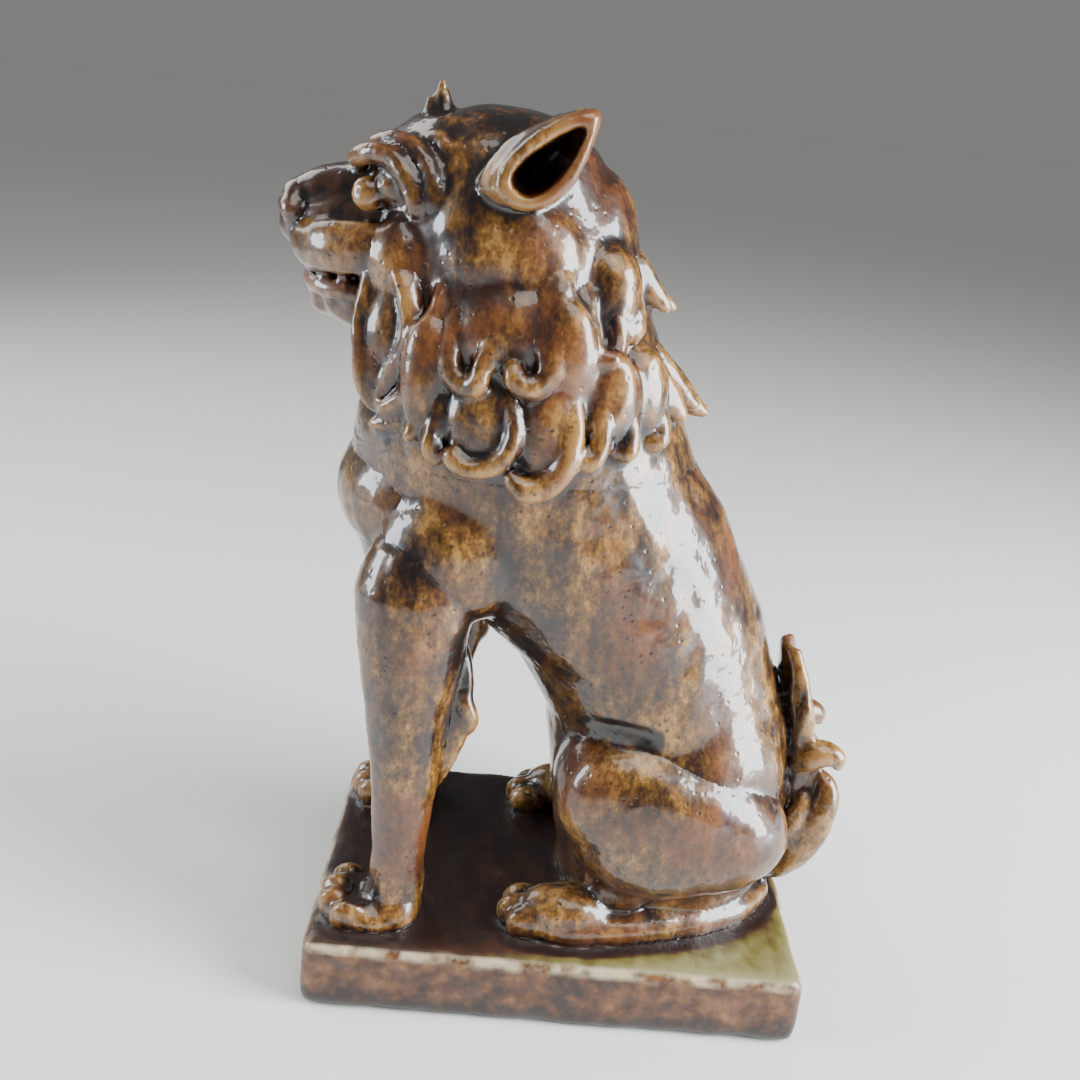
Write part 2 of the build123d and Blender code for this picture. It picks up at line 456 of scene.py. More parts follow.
@dataclass
class Plinth:
    """The thick slab that the dog sits on, with its firing vent."""

    edge: float = 2.6
    grain: float = 1.3
    vent_radius: float = 5.0
    vent_y: float = 27.0
    vent_sides: int = 32
    edge_rings: int = 4
    dimple: tuple[Point, Point] = ((43.6, -56.0, 13.0), (1.6, 2.2, 2.2))

    def build(self) -> list[Piece]:
        """Cuts the slab to the frame's size and eases its edges.

        Returns:
            The pieces.
        """
        low, high = box_mm("plinth")
        bpy.ops.object.select_all(action="DESELECT")
        bpy.ops.mesh.primitive_cube_add(size=1, location=(low + high) / 2, scale=high - low)
        bpy.ops.object.transform_apply(location=True, rotation=True, scale=True)
        slab = bpy.context.object
        bpy.ops.object.mode_set(mode="EDIT")
        bpy.ops.mesh.select_all(action="SELECT")
        bpy.ops.mesh.bevel(offset=self.edge, segments=self.edge_rings)
        bpy.ops.object.mode_set(mode="OBJECT")
        bpy.ops.object.select_all(action="DESELECT")
        bpy.ops.mesh.primitive_cylinder_add(vertices=self.vent_sides, radius=self.vent_radius,
                                            depth=3 * high.z, location=(0, self.vent_y, 0))
        vent = bpy.context.object
        slab = fuse([slab], self.grain, soften=2, tools=[vent, ball(*self.dimple)])
        return [Piece("plinth", slab, Slot.PLINTH, Finish.PLINTH)]


@dataclass
class Torso:
    """The hollow-built body, from the rump up to the neck, and the ball of the chest."""

    stations: tuple = (
        (19.5, 0, 28, 26, 27), (35, 0, 29, 29, 31), (55, 0, 28.5, 31, 33.5), (75, 0, 25, 31, 33),
        (92, 0, 16, 30.5, 35), (106, 0, 5, 31, 41), (120, 0, -7.5, 32, 46), (132, 0, -14.5, 32.5, 47),
        (144, 0, -19.5, 33, 42.6), (150, 0, -20.2, 31.5, 38),
    )
    shoulder: tuple[Point, Point] = ((20, -33, 122), (14.5, 20, 18))
    flank: tuple[Point, Point] = ((12, 29, 62), (22.5, 28, 29))
    chest: tuple[Point, Point] = ((0, -41.0, 131), (26, 24.6, 20))
    throat: tuple[Point, Point] = ((0, -43, 148), (25, 18.5, 17))
    breast: tuple[Point, Point] = ((0, -42, 120), (24, 18, 17))
    crease: Path = ((23, -6, 76), (25.5, 0, 79.4), (28.5, 6, 81.4), (30.6, 12, 82), (31.6, 18, 81))
    crease_radius: float = 2.3

    def build(self) -> list[Piece]:
        """Raises the walls, fills out the shoulders and flanks, and presses on the chest.

        Returns:
            The pieces.
        """
        lumps = [mass(self.stations), ball(*self.throat), ball(*self.breast)]
        lumps += twin_balls(self.shoulder, self.flank)
        tools = [coil(path, self.crease_radius) for path in (self.crease, mirror_path(self.crease))]
        torso = fuse(lumps, grain=1.0, soften=6, tools=tools)
        chest = fuse([ball(*self.chest)], grain=1.0, soften=2)
        return [Piece("torso", torso), Piece("chest", chest)]


@dataclass
class Head:
    """The skull and the neck under the mane, with horn and crown buds."""

    stations: tuple = (
        (134, 0, -16, 30, 42), (144, 0, -19.5, 33.2, 42.8), (155, 0, -20.5, 33.6, 38.5),
        (168, 0, -22, 32.5, 34.5), (182, 0, -24.5, 30, 31), (195, 0, -28, 27, 30), (205, 0, -31, 24, 27),
        (213, 0, -32, 20.5, 24), (218, 0, -32, 14, 18),
    )
    crown: tuple[Point, Point] = ((0, -30, 210.5), (21, 21, 11))
    forehead: tuple[Point, Point] = ((0, -46, 206), (17, 14, 10.5))
    cheek: tuple[Point, Point] = ((16.5, -49.5, 188), (7.6, 8.5, 10))
    temple: tuple[Point, Point] = ((19.6, -31, 196), (8, 13, 13))
    nape: tuple[Point, Point] = ((0, -9, 190), (19, 12.5, 21))
    jowl: tuple[Point, Point] = ((13.5, -49.5, 171), (11, 10.5, 17))
    panels: tuple = (
        ((20.6, -26, 190), (9, 17, 14)), ((28, -24, 175), (5.5, 13, 11)), ((30, -12, 172), (4.6, 7, 13)),
        ((28, -42, 165), (4.4, 6, 14)), ((31.6, -29, 156), (3.6, 8, 10)),
        ((32, -14.5, 156), (4.2, 7, 12)),
        ((27, -2, 163), (5, 7, 12)), ((19, 5, 163), (7, 7, 12)), ((16, -4, 184), (9, 8, 12)),
    )
    horn: Path = ((0, -43.6, 214), (0, -44, 218.6), (0, -44.4, 222), (0, -44.7, 225))
    horn_radii: tuple = (3.4, 2.7, 1.9, 1.1)
    spur: Path = ((0, -46, 214), (0, -46.8, 218), (0, -47.4, 221.4))
    spur_radii: tuple = (3.4, 2.3, 0.9)
    bud: Path = ((12, -44, 210), (14, -44.8, 213.2), (16.5, -42.4, 213.2), (19, -40, 211.4))
    bud_radii: tuple = (2.2, 2.0, 2.0, 1.0)

    def build(self) -> list[Piece]:
        """Shapes the skull, then sets the horn and the buds on its crown.

        Returns:
            The pieces.
        """
        lumps = [mass(self.stations), ball(*self.crown), ball(*self.forehead), ball(*self.nape)]
        lumps += twin_balls(self.cheek, self.temple, self.jowl, *self.panels)
        horn = [coil(self.horn, self.horn_radii), coil(self.spur, self.spur_radii)]
        bud = [coil(self.bud, self.bud_radii)]
        return [Piece("head", fuse(lumps, grain=0.9, soften=6)),
                Piece("horn", fuse(horn, grain=0.5, soften=2)),
                *pair("crown_bud", fuse(bud, grain=0.5, soften=2))]


@dataclass
class Face:
    """Muzzle, nose, lips, jaw and teeth, then the eyes under their rolled brows."""

    bridge: Path = ((0, -52, 203), (0, -63, 202), (0, -72, 200), (0, -77, 197))
    bridge_radii: tuple = (9, 7.2, 6.4, 4.6)
    bridge_height: float = 0.7
    muzzle: Path = ((0, -46, 193), (0, -60, 193), (0, -70, 192.5), (0, -74, 192))
    muzzle_radii: tuple = (14, 12.5, 10, 7)
    muzzle_height: float = 0.8
    nose: tuple[Point, Point] = ((0, -76, 198), (6.5, 3.6, 4.2))
    nose_wing: tuple[Point, Point] = ((5, -76.5, 195.4), (3.4, 3.2, 3.2))
    nostril: tuple[Point, Point] = ((4.6, -80, 194), (1.3, 2, 1.2))
    lip: Path = ((17, -54, 190), (15.6, -60, 189.4), (12, -67, 189), (6.6, -72, 188.4), (0, -73.6, 189))
    lip_radii: tuple = (4.0, 4.7, 4.8, 4.4, 3.6)
    lip_height: float = 1.25
    jaw: tuple[Point, Point] = ((0, -58.5, 174), (12, 13, 5.8))
    jaw_tip: float = -12
    chin: tuple[Point, Point] = ((0, -69, 176), (7, 4.6, 4.6))
    gum: Path = ((12.5, -56, 179), (11.5, -64, 179.2), (7, -70.5, 179.6), (0, -72.8, 180))
    gum_radius: float = 2.1
    tooth_ring: tuple[Point, Point] = ((0, -59, 0), (12, 13.2, 0))
    tooth_angles: tuple = (-72, -48, -24, 0, 24, 48, 72)
    fangs: tuple = (-24, 24)
    tooth_radius: float = 1.5
    fang_radius: float = 1.9
    tooth_levels: tuple = (176, 180, 185)
    eye: float = 3.8
    eye_shift: Point = (0.6, -2.2, -1.0)
    pupil: float = 1.2
    pupil_shift: Point = (3.6, -1.6, 0.3)
    brow: Path = ((6, -61.6, 206.4), (10, -61.6, 207.8), (14, -59.4, 209), (17, -56, 209.8),
                  (19, -52, 208.8), (20.4, -49.4, 206), (21, -47.8, 203), (21, -46.8, 199.6))
    brow_radii: tuple = (1.6, 2.2, 2.4, 2.3, 2.4, 2.5, 2.5, 2.4)
    brow_curl: Path = ((8, -58, 211.4), (13, -53.6, 212.6), (16.4, -48.9, 211.6), (19.4, -45.2, 208.6),
                       (21.4, -43.5, 204.5), (21.8, -43, 200.6))
    curl_radii: tuple = (1.6, 2.2, 2.4, 2.3, 2.3, 2.0)
    brow_lie: Point = (0.3, 1, 0)
    lid: tuple[Point, Point] = ((17.6, -53.4, 203.6), (1.6, 1.8, 1.6))
    socket: tuple[Point, Point] = ((12, -50.5, 203.5), (7.4, 7, 6.6))

    def teeth(self) -> list[Piece]:
        """Sets the teeth between the lip and the jaw, with gaps that show the dark mouth.

        Returns:
            The row of teeth, as one piece.
        """
        centre, reach = self.tooth_ring
        low, middle, high = self.tooth_levels
        pegs = []
        for angle in self.tooth_angles:
            x, y = reach[0] * sin(radians(angle)), centre[1] - reach[1] * cos(radians(angle))
            stout = self.fang_radius if angle in self.fangs else self.tooth_radius
            peg = ((x * 0.94, y + 1, low), (x, y, middle), (x * 1.03, y - 0.4, high))
            pegs.append(coil(peg, (stout, stout, stout * 1.15)))
        return [Piece("teeth", fuse(pegs, grain=0.5, soften=1), Slot.IRON, Finish.MOUTH)]

    def snout(self) -> list[Piece]:
        """Shapes the muzzle, the nose on its end, and the lip over the jaw.

        Returns:
            The four pieces.
        """
        muzzle = [coil(self.muzzle, self.muzzle_radii, self.muzzle_height, UP),
                  coil(self.bridge, self.bridge_radii, self.bridge_height, UP)]
        wing, hole = ball(*self.nose_wing), ball(*self.nostril)
        nose = fuse([ball(*self.nose), wing, mirrored(wing)], grain=0.5, soften=2,
                    tools=[hole, mirrored(hole)])
        lip_radii = [*self.lip_radii, *self.lip_radii[-2::-1]]
        lip = [coil(carried_round(self.lip), lip_radii, self.lip_height, UP)]
        jaw = [ball(*self.jaw, tip=self.jaw_tip), ball(*self.chin),
               coil(carried_round(self.gum), self.gum_radius, across=UP)]
        return [Piece("muzzle", fuse(muzzle, grain=0.7, soften=4), Slot.IRON, Finish.IRON),
                Piece("nose", nose, Slot.IRON, Finish.IRON),
                Piece("upper_lip", fuse(lip, grain=0.6, soften=2)),
                Piece("jaw", fuse(jaw, grain=0.6, soften=2), Slot.ASH, Finish.MOUTH)]

    def eyes(self) -> list[Piece]:
        """Sets the eyeballs in their sockets, and rolls the brows over and behind them.

        Returns:
            The pieces of both sides.
        """
        low, high = box_mm("eye_left")
        centre = (low + high) / 2 + Vector(self.eye_shift)
        pupil = ball(centre + Vector(self.pupil_shift), (self.pupil,) * 3)
        eye = fuse([ball(centre, (self.eye,) * 3)], grain=0.4, soften=1, tools=[pupil])
        brow = [coil(self.brow, self.brow_radii, across=self.brow_lie), ball(*self.lid),
                ball(*self.socket)]
        curl = [coil(self.brow_curl, self.curl_radii, across=self.brow_lie)]
        return [*pair("eye", eye), *pair("brow", fuse(brow, grain=0.5, soften=2)),
                *pair("brow_curl", fuse(curl, grain=0.5, soften=2))]

    def build(self) -> list[Piece]:
        """Builds the snout, then the eyes, then the teeth."""
        return [*self.snout(), *self.eyes(), *self.teeth()]


@dataclass
class Ear:
    """A cupped ear that opens outwards, with a thick lower rim and a point at its rear."""

    root: tuple = ((-34, 206), (-29, 202.6), (-21, 202.2), (-15.6, 206.6), (-12.6, 214), (-12.6, 219.4),
                   (-17, 221), (-22.4, 218.6), (-29, 214.6))
    rim: tuple = ((-30.4, 206.6), (-26.6, 202.8), (-20.4, 203.0), (-14.6, 207.6), (-11.6, 215),
                  (-10.6, 221.8), (-16.6, 220.8), (-21.8, 217.6), (-27.4, 212.6))
    hole: tuple = ((-27.1, 207.4), (-24.4, 204.6), (-20.4, 205.4), (-16.6, 209.4), (-13.8, 214.8),
                   (-12.4, 219.4), (-16.6, 217.8), (-20.8, 215.2), (-24.8, 211.8))
    cup_root: tuple = ((12, 0.7), (18, 0.86), (24, 0.98), (27.5, 1))
    cup_rim: tuple = ((30.5, 1.06), (33, 1), (34.2, 0.9))
    hollow: tuple = ((18, 0.4), (24, 0.72), (30, 0.92), (34, 1), (38, 1.12))

    def build(self) -> list[Piece]:
        """Rolls the cup out to its rim and hollows it.

        Returns:
            The pieces.
        """
        cup = [(x, scaled(self.root, share)) for x, share in self.cup_root]
        cup += [(x, scaled(self.rim, share)) for x, share in self.cup_rim]
        hollow = [(x, scaled(self.hole, share)) for x, share in self.hollow]
        return pair("ear", fuse([outline_body(cup)], grain=0.5, soften=3, tools=[outline_body(hollow)]))


@dataclass
class Forequarters:
    """The two straight forelegs, their toed paws and the tufts behind the elbows."""

    leg: tuple = (
        (23, 27, -44, 8, 8.4), (29, 27, -43, 7, 7.4), (40, 27, -42.5, 6.8, 7), (52, 27, -42.3, 7.4, 7.8),
        (66, 27, -42, 8.4, 9), (83, 26.6, -42.5, 9.6, 10.6), (100, 26, -42.2, 10.8, 13.4),
        (113, 25, -42, 11.4, 15), (124, 23.5, -40, 9.6, 13), (130, 22, -38, 5, 8),
    )
    sole: tuple[Point, Point] = ((27.5, -49, 22.5), (10.5, 13.2, 5.2))
    heel: tuple[Point, Point] = ((27.5, -42.5, 23.5), (9, 7, 6.4))
    toes: tuple = ((19.8, -56), (24.9, -58.2), (30.2, -58), (35, -54))
    toe: Point = (2.6, 5.0, 4.8)
    toe_lift: float = 0.75
    dip: tuple[Point, Point] = ((28.5, -52.6, 31), (7, 2.6, 4.4))
    tuft: Path = ((24, -29.5, 98), (25, -29, 88), (25.5, -29.6, 77), (25.5, -31.5, 68), (25, -34, 60))
    tuft_radii: tuple = (1.6, 3.2, 3.4, 2.8, 1.6)
    tuft_hook: Path = ((26, -30, 88), (27, -27.6, 83), (26.5, -26.8, 78.5), (25.5, -28.6, 75.5))
    tuft_hook_radii: tuple = (1.8, 2.4, 2.2, 1.4)

    def build(self) -> list[Piece]:
        """Sets up the legs, presses out the paws and adds the tufts.

        Returns:
            The pieces.
        """
        floor = box_mm("plinth")[1].z
        toes = [ball((x, y, floor + self.toe[2] * self.toe_lift), self.toe) for x, y in self.toes]
        paw = fuse([ball(*self.sole), ball(*self.heel), *toes], grain=0.6, soften=2,
                   tools=[ball(*self.dip)])
        leg = fuse([mass(self.leg, sides=24)], grain=0.8, soften=3)
        tuft = fuse([coil(self.tuft, self.tuft_radii, flutes=4),
                     coil(self.tuft_hook, self.tuft_hook_radii)], grain=0.6, soften=1)
        return [*pair("foreleg", leg), *pair("fore_paw", paw), *pair("elbow_tuft", tuft)]


@dataclass
class Hindquarters:
    """The folded haunches over the long flat hind feet."""

    outline: tuple = ((5, 77), (-1.6, 72), (-4.8, 63), (-0.4, 49), (7, 37), (20, 31.4), (36.3, 33.6),
                      (50, 38.6), (58.0, 47.4), (57, 57), (51.4, 64.4), (43, 70.4), (32, 75), (18, 78.8))
    swell: tuple = ((4, 0.84), (13, 0.95), (21, 1.0), (26.5, 0.98), (31, 0.91), (34.5, 0.8), (37, 0.66),
                    (38.7, 0.48), (39.6, 0.26))
    knee: tuple[Point, Point] = ((25.5, 8, 60), (11.5, 12, 15))
    knee_tip: float = 10
    ankle: tuple[Point, Point] = ((23, 16, 33), (9, 10, 7.5))
    foot: Path = ((28, -8, 23.6), (31, 2, 23.6), (29.6, 13, 23.2), (27, 26, 23.2), (22.6, 39, 23.2),
                  (16.6, 49, 23), (8, 57, 22.6))
    foot_radii: tuple = (4.4, 4.6, 4.5, 4.5, 4.4, 4.2, 3.4)
    foot_width: float = 1.25
    instep: tuple[Point, Point] = ((28.6, 2, 26.4), (7.4, 12, 6.8))
    toes: tuple = ((22.8, -9.0), (27.6, -10.4), (32.2, -7.6))
    toe: Point = (3.0, 5.8, 5.0)
    toe_lift: float = 0.75

    def build(self) -> list[Piece]:
        """Presses on the haunches and lays the feet under them.

        Returns:
            The pieces.
        """
        floor = box_mm("plinth")[1].z
        thigh = outline_body([(x, scaled(self.outline, share)) for x, share in self.swell], sides=48)
        haunch = fuse([thigh, ball(*self.knee, tip=self.knee_tip), ball(*self.ankle)], grain=0.9,
                      soften=18)
        toes = [ball((x, y, floor + self.toe[2] * self.toe_lift), self.toe) for x, y in self.toes]
        foot = fuse([coil(self.foot, self.foot_radii, self.foot_width), ball(*self.instep), *toes],
                    grain=0.6, soften=3)
        return [*pair("haunch", haunch), *pair("hind_foot", foot)]


@dataclass
class Tail:
    """The upright flame of a tail, with side curls."""

    leaf: Path = ((0, 58, 24), (0, 62.5, 40), (0, 61, 58), (0, 59.6, 72), (0, 57.6, 82), (0, 55.6, 91))
    rim: Path = ((9, 63, 54), (10, 63.2, 62), (9.8, 62.4, 72), (8.8, 60.6, 82), (7, 58.2, 90),
                 (4.4, 56.6, 95.4))
    rim_radii: tuple = (2.0, 2.2, 2.2, 2.1, 2.0, 1.5)
    leaf_radii: tuple = (7, 12, 12.5, 12, 10.5, 7)
    leaf_thickness: float = 0.3
    curls: tuple = (
        ((5, 59.6, 56), (8, 61.6, 63), (10.4, 64, 68), (11.4, 67.4, 69.6), (11.8, 70.4, 68.6),
         (11.8, 71.2, 66.6)),
        ((6, 59.6, 66), (9, 60.4, 74), (10, 60.6, 81), (8.6, 59.4, 86)),
    )
    core: tuple[Point, Point] = ((0, 60, 47), (12.5, 6.5, 19))
    web: tuple[Point, Point] = ((8.6, 65, 55), (4, 4.4, 12))
    curl_radii: tuple = ((2.6, 3.6, 4.0, 3.8, 3.0, 1.8), (2.0, 2.4, 2.0, 1.0))
    lobes: tuple = (
        ((6, 59, 28), (10.6, 61.6, 34), (13, 66, 43), (12.8, 69, 52), (12, 69.4, 59.4), (10.6, 67, 62.6)),
        ((9, 59, 34), (12.6, 60.4, 42), (13.6, 62.2, 50), (12.6, 63.6, 56)),
    )
    lobe_radii: tuple = ((3, 4.4, 4.8, 4.4, 3.4, 2.2), (2.4, 3.0, 2.8, 2.0))

    def build(self) -> list[Piece]:
        """Pulls up the leaf and lays the curls and lobes against it.

        Returns:
            The pieces.
        """
        blade = coil(self.leaf, self.leaf_radii, self.leaf_thickness, across=(0, 1, 0), flutes=5)
        rims = [coil(path, self.rim_radii) for path in (self.rim, mirror_path(self.rim))]
        leaf = fuse([blade, ball(*self.core), *rims], grain=0.6, soften=2)
        curl = fuse([coil(*roll) for roll in zip(self.curls, self.curl_radii)], grain=0.6, soften=2)
        lobes = [coil(*roll) for roll in zip(self.lobes, self.lobe_radii)]
        lobe = fuse([*lobes, ball(*self.web)], grain=0.6, soften=2)
        return [Piece("tail_leaf", leaf), *pair("tail_curl", curl), *pair("tail_lobe", lobe)]


@dataclass(frozen=True)
class Strand:
    """One strand of hair: its path, its radii and how many grooves it has."""

    path: Path
    radii: tuple
    flutes: int = 0
    flat: float = 1.0
    root_depths: tuple = (7.0, 3.8, 2.4)
    middle_depth: float = 1.6
    tip_depth: float = 0.6
    root_shares: tuple = (0.4, 0.85)
    neck_y: float = -22

    def roll(self) -> Object:
        """Rolls the strand as a coil whose root starts under the surface.

        Returns:
            The coil, in millimetres.
        """
        points = [Vector(point) for point in self.path]
        for index, point in enumerate(points):
            rest = self.middle_depth if index < len(points) - 2 else self.tip_depth
            depth = self.root_depths[index] if index < len(self.root_depths) else rest
            point += (Vector((0, self.neck_y, point.z)) - point).normalized() * depth
        root = [share * radius for share, radius in zip(self.root_shares, self.radii)]
        radii = (*root, *self.radii[len(root):])
        return coil(points, radii, self.flat, sides=20 if self.flutes else 14, flutes=self.flutes)

    def twin(self) -> "Strand":
        """The same strand on the dog's other side."""
        return Strand(mirror_path(self.path), self.radii, self.flutes, self.flat)


@dataclass
class Mane:
    """The beard and the two tiers of fluted locks that end in hooks."""

    beard: tuple = (
        Strand(((14, -56, 192), (17.5, -58, 187), (19, -58.8, 181), (19.5, -59.4, 174), (20.4, -59, 167),
                (20.6, -57.4, 160.6), (20.6, -55, 156)), (2.6, 3.4, 3.2, 3.0, 2.8, 2.6, 2.2), 3),
        Strand(((19, -54, 192), (22.5, -53, 187.5), (24.8, -49.8, 183.5), (26, -47.6, 177.4),
                (26, -48, 170.9), (24, -50.4, 164.6), (22, -53, 158.8)),
               (3, 3.4, 3.0, 2.8, 2.6, 2.4, 2.0), 3),
        Strand(((20, -54, 182), (21, -54.6, 176), (21, -55.4, 168), (20.6, -55.4, 160)),
               (3.4, 4.2, 3.6, 2.6)),
    )
    recess: Path = ((22.5, -55.6, 180.4), (22.5, -53.6, 183), (22.6, -51.6, 180), (22.2, -52.4, 174),
                    (20.6, -54, 169.4))
    recess_radii: tuple = (1.2, 1.5, 1.9, 2.2, 1.6)
    locks: dict = field(default_factory=lambda: {
        "jaw": (
            Strand(((20, -40, 196), (25.6, -41, 186.6), (28.4, -42.2, 177), (27.6, -45, 167),
                    (26, -48, 160), (23.5, -51.6, 156), (21, -53.6, 157)),
                   (2.2, 3.0, 3.0, 3.0, 2.6, 2.2, 2.0), 3),
            Strand(((27, -47, 166), (26.5, -47.6, 158), (24, -50.5, 152.5), (20.5, -54.5, 151.5)),
                   (2.4, 2.6, 2.4, 2.0), 2),
        ),
        "cheek": (
            Strand(((29.5, -36.5, 186), (31, -38, 178), (31.8, -38.4, 172), (33, -36.8, 167.2),
                    (34.2, -33.5, 164.8), (35, -30.6, 166.4), (34.6, -30.6, 168.4)),
                   (2.0, 2.6, 2.6, 2.6, 2.6, 2.6, 2.2)),
            Strand(((29.5, -20.5, 188), (32.5, -23.4, 181.5), (34.2, -27, 174.6), (34.6, -29.8, 169.6)),
                   (3, 4.4, 4.0, 3.0), 3, 0.6),
        ),
        "ear": (
            Strand(((27.5, -16, 196), (31, -15, 187), (33.2, -14.6, 178.5), (34.4, -15, 171.5)),
                   (3, 5.4, 5.2, 3.8), 5, 0.55),
            Strand(((33, -13.2, 178), (34.6, -13.4, 172.5), (35.6, -15.8, 168), (36, -19.6, 166.2),
                    (35.6, -22.8, 167.8), (34.8, -23.2, 169.8)), (2.2, 2.8, 2.9, 2.8, 2.6, 2.2)),
        ),
        "nape": (
            Strand(((25.5, -10, 192), (28.4, -8.6, 184.5), (30.4, -7.4, 178), (31, -5.4, 173)),
                   (2.4, 3.8, 3.6, 2.6), 3, 0.6),
            Strand(((30, -9, 179), (30.8, -7, 174), (30.6, -4, 171.6), (30, -1.8, 173)),
                   (1.8, 2.4, 2.5, 2.2)),
        ),
        "throat": (
            Strand(((31.4, -38, 170), (32.4, -39, 163), (32.6, -40, 156), (32.4, -40.4, 150.6),
                    (32, -39.2, 148.4)), (2.2, 2.8, 2.8, 2.8, 2.5), 3),
            Strand(((30, -42.5, 170), (30, -44, 163), (29.4, -45, 156.5), (29, -45.4, 152)),
                   (2.2, 2.8, 2.6, 2.2), 2),
        ),
        "shoulder": (
            Strand(((35, -27, 168), (36.6, -23.6, 162.6), (37, -21.8, 156.8), (37, -23, 151.2),
                    (36.4, -27.6, 147.6), (35.4, -32.2, 147.4), (34.4, -35.2, 149.4)),
                   (1.8, 2.0, 2.1, 2.2, 2.4, 2.5, 2.5)),
        ),
        "withers": (
            Strand(((33.4, -11, 171), (35, -8.6, 164), (36, -8.2, 156.6), (36.4, -9.8, 149.5),
                    (36.4, -13.6, 145), (36.4, -18.4, 143.6), (36, -21.2, 145.4)),
                   (1.8, 2.2, 2.5, 3.0, 3.1, 2.9, 2.4)),
            Strand(((34, -15, 160), (35.4, -13.6, 153), (35.4, -14.4, 147.6)), (2, 3.2, 2.6), 2, 0.7),
        ),
        "flank": (
            Strand(((30, -4.6, 173), (31.6, -2.4, 166), (32.8, -1.6, 158.6), (33.4, -2.4, 153),
                    (33.8, -4.8, 150.6), (33.6, -6.8, 151.8)), (2.2, 2.6, 2.6, 2.6, 2.6, 2.3)),
        ),
        "collar": (
            Strand(((26, 2.6, 171), (27.6, 5.0, 164), (28.8, 5.2, 157.6), (29.4, 4, 152.8),
                    (29.4, 1.6, 152.6)),
                   (2.2, 2.6, 2.6, 2.7, 2.5)),
            Strand(((19, 8, 170), (19.4, 11.6, 164), (20.4, 12.8, 158), (21.4, 11.6, 153.8),
                    (22.4, 9.6, 153.6)),
                   (2.2, 2.6, 2.6, 2.7, 2.4)),
        ),
        "crest": (
            Strand(((15, -1, 196), (17, 2, 189), (18.4, 3.6, 183), (20.4, 3, 178), (21.8, 1, 178)),
                   (2.2, 2.8, 2.8, 2.6, 2.4)),
            Strand(((23, -2.6, 188), (24.6, -0.6, 182), (25.4, 0.6, 176.6), (26, -0.6, 174.6)),
                   (2.2, 2.6, 2.4, 2.2)),
        ),
    })
    ridge: tuple = (
        Strand(((0, -3, 198), (0, 4.5, 190), (0, 9.6, 183.6), (0, 13, 180.6)), (2.4, 3.4, 3.0, 1.6)),
        Strand(((0, 11, 174), (0, 17, 165.6), (0, 21.6, 158.6), (0, 24, 156)), (2.4, 3.4, 3, 1.8)),
        Strand(((8, 6, 180), (8, 12, 171), (7, 17.6, 163), (6, 20.6, 159)), (2.4, 3.4, 3.0, 1.8)),
        Strand(((-8, 6, 179), (-8, 12, 170), (-7, 17.4, 162), (-6.4, 20, 158)), (2.4, 3.4, 3.0, 1.8)),
    )
    ridge_sides: tuple = (
        Strand(((9, -2, 199), (9.4, 3.6, 192), (9.6, 7.4, 186), (9, 10.4, 182)), (2.4, 3.6, 3.4, 2.0), 3),
        Strand(((14, 4, 178), (14.6, 10, 170), (14.4, 14.6, 162.6), (13.4, 16.8, 158)),
               (2.4, 3.6, 3.4, 2.2), 3),
    )

    def build(self) -> list[Piece]:
        """Rolls every strand, works it into its lock and sets the locks in tiers.

        Returns:
            The pieces.
        """
        recess = coil(self.recess, self.recess_radii)
        beard = fuse([strand.roll() for strand in self.beard], grain=0.6, soften=1, tools=[recess])
        pieces = pair("beard", beard)
        for name, strands in self.locks.items():
            lock = fuse([strand.roll() for strand in strands], grain=0.6, soften=1)
            pieces += pair(f"mane_lock_{name}", lock)
        ridge = [*self.ridge, *self.ridge_sides, *[strand.twin() for strand in self.ridge_sides]]
        ridge = fuse([strand.roll() for strand in ridge], grain=0.6, soften=1)
        return [*pieces, Piece("mane_locks_ridge", ridge)]


# --- Luting and glazing -----------------------------------------------------------------------


def read_points(mesh: bpy.types.Mesh, what: str = "vertices") -> np.ndarray:
    """Reads where a mesh's points lie, or which way they face.

    Args:
        mesh: The mesh.
        what: Either vertices or normals.

    Returns:
        One row of three for each point.
    """
    values = np.empty(3 * len(mesh.vertices), np.float32)
    if what == "normals":
        mesh.vertex_normals.foreach_get("vector", values)
    else:
        mesh.vertices.foreach_get("co", values)
    return values.reshape(-1, 3).astype(float)


def relaxed(places: np.ndarray, edges: np.ndarray, rounds: int, share: float = 0.6) -> np.ndarray:
    """Averages every point with its neighbours, again and again.

    Args:
        places: The points, or any other values, as rows.
        edges: Pairs of neighbours, by index.
        rounds: How often the average is taken.
        share: How far each point goes towards the average in one round.

    Returns:
        The relaxed rows.
    """
    ends = np.concatenate([edges[:, 0], edges[:, 1]])
    others = np.concatenate([edges[:, 1], edges[:, 0]])
    count = np.maximum(np.bincount(ends, minlength=len(places)), 1)[:, None]
    current = places
    for _ in range(rounds):
        totals = [np.bincount(ends, column[others], len(places)) for column in current.T]
        current = (1 - share) * current + share * np.stack(totals, 1) / count
    return current


@dataclass
class Skin:
    """One softened skin over the whole dog, with what is known at each of its points."""

    places: np.ndarray
    quads: list[tuple[int, ...]]
    edges: np.ndarray
    depth: np.ndarray
    owner: np.ndarray
    tree: BVHTree
    dog: BVHTree


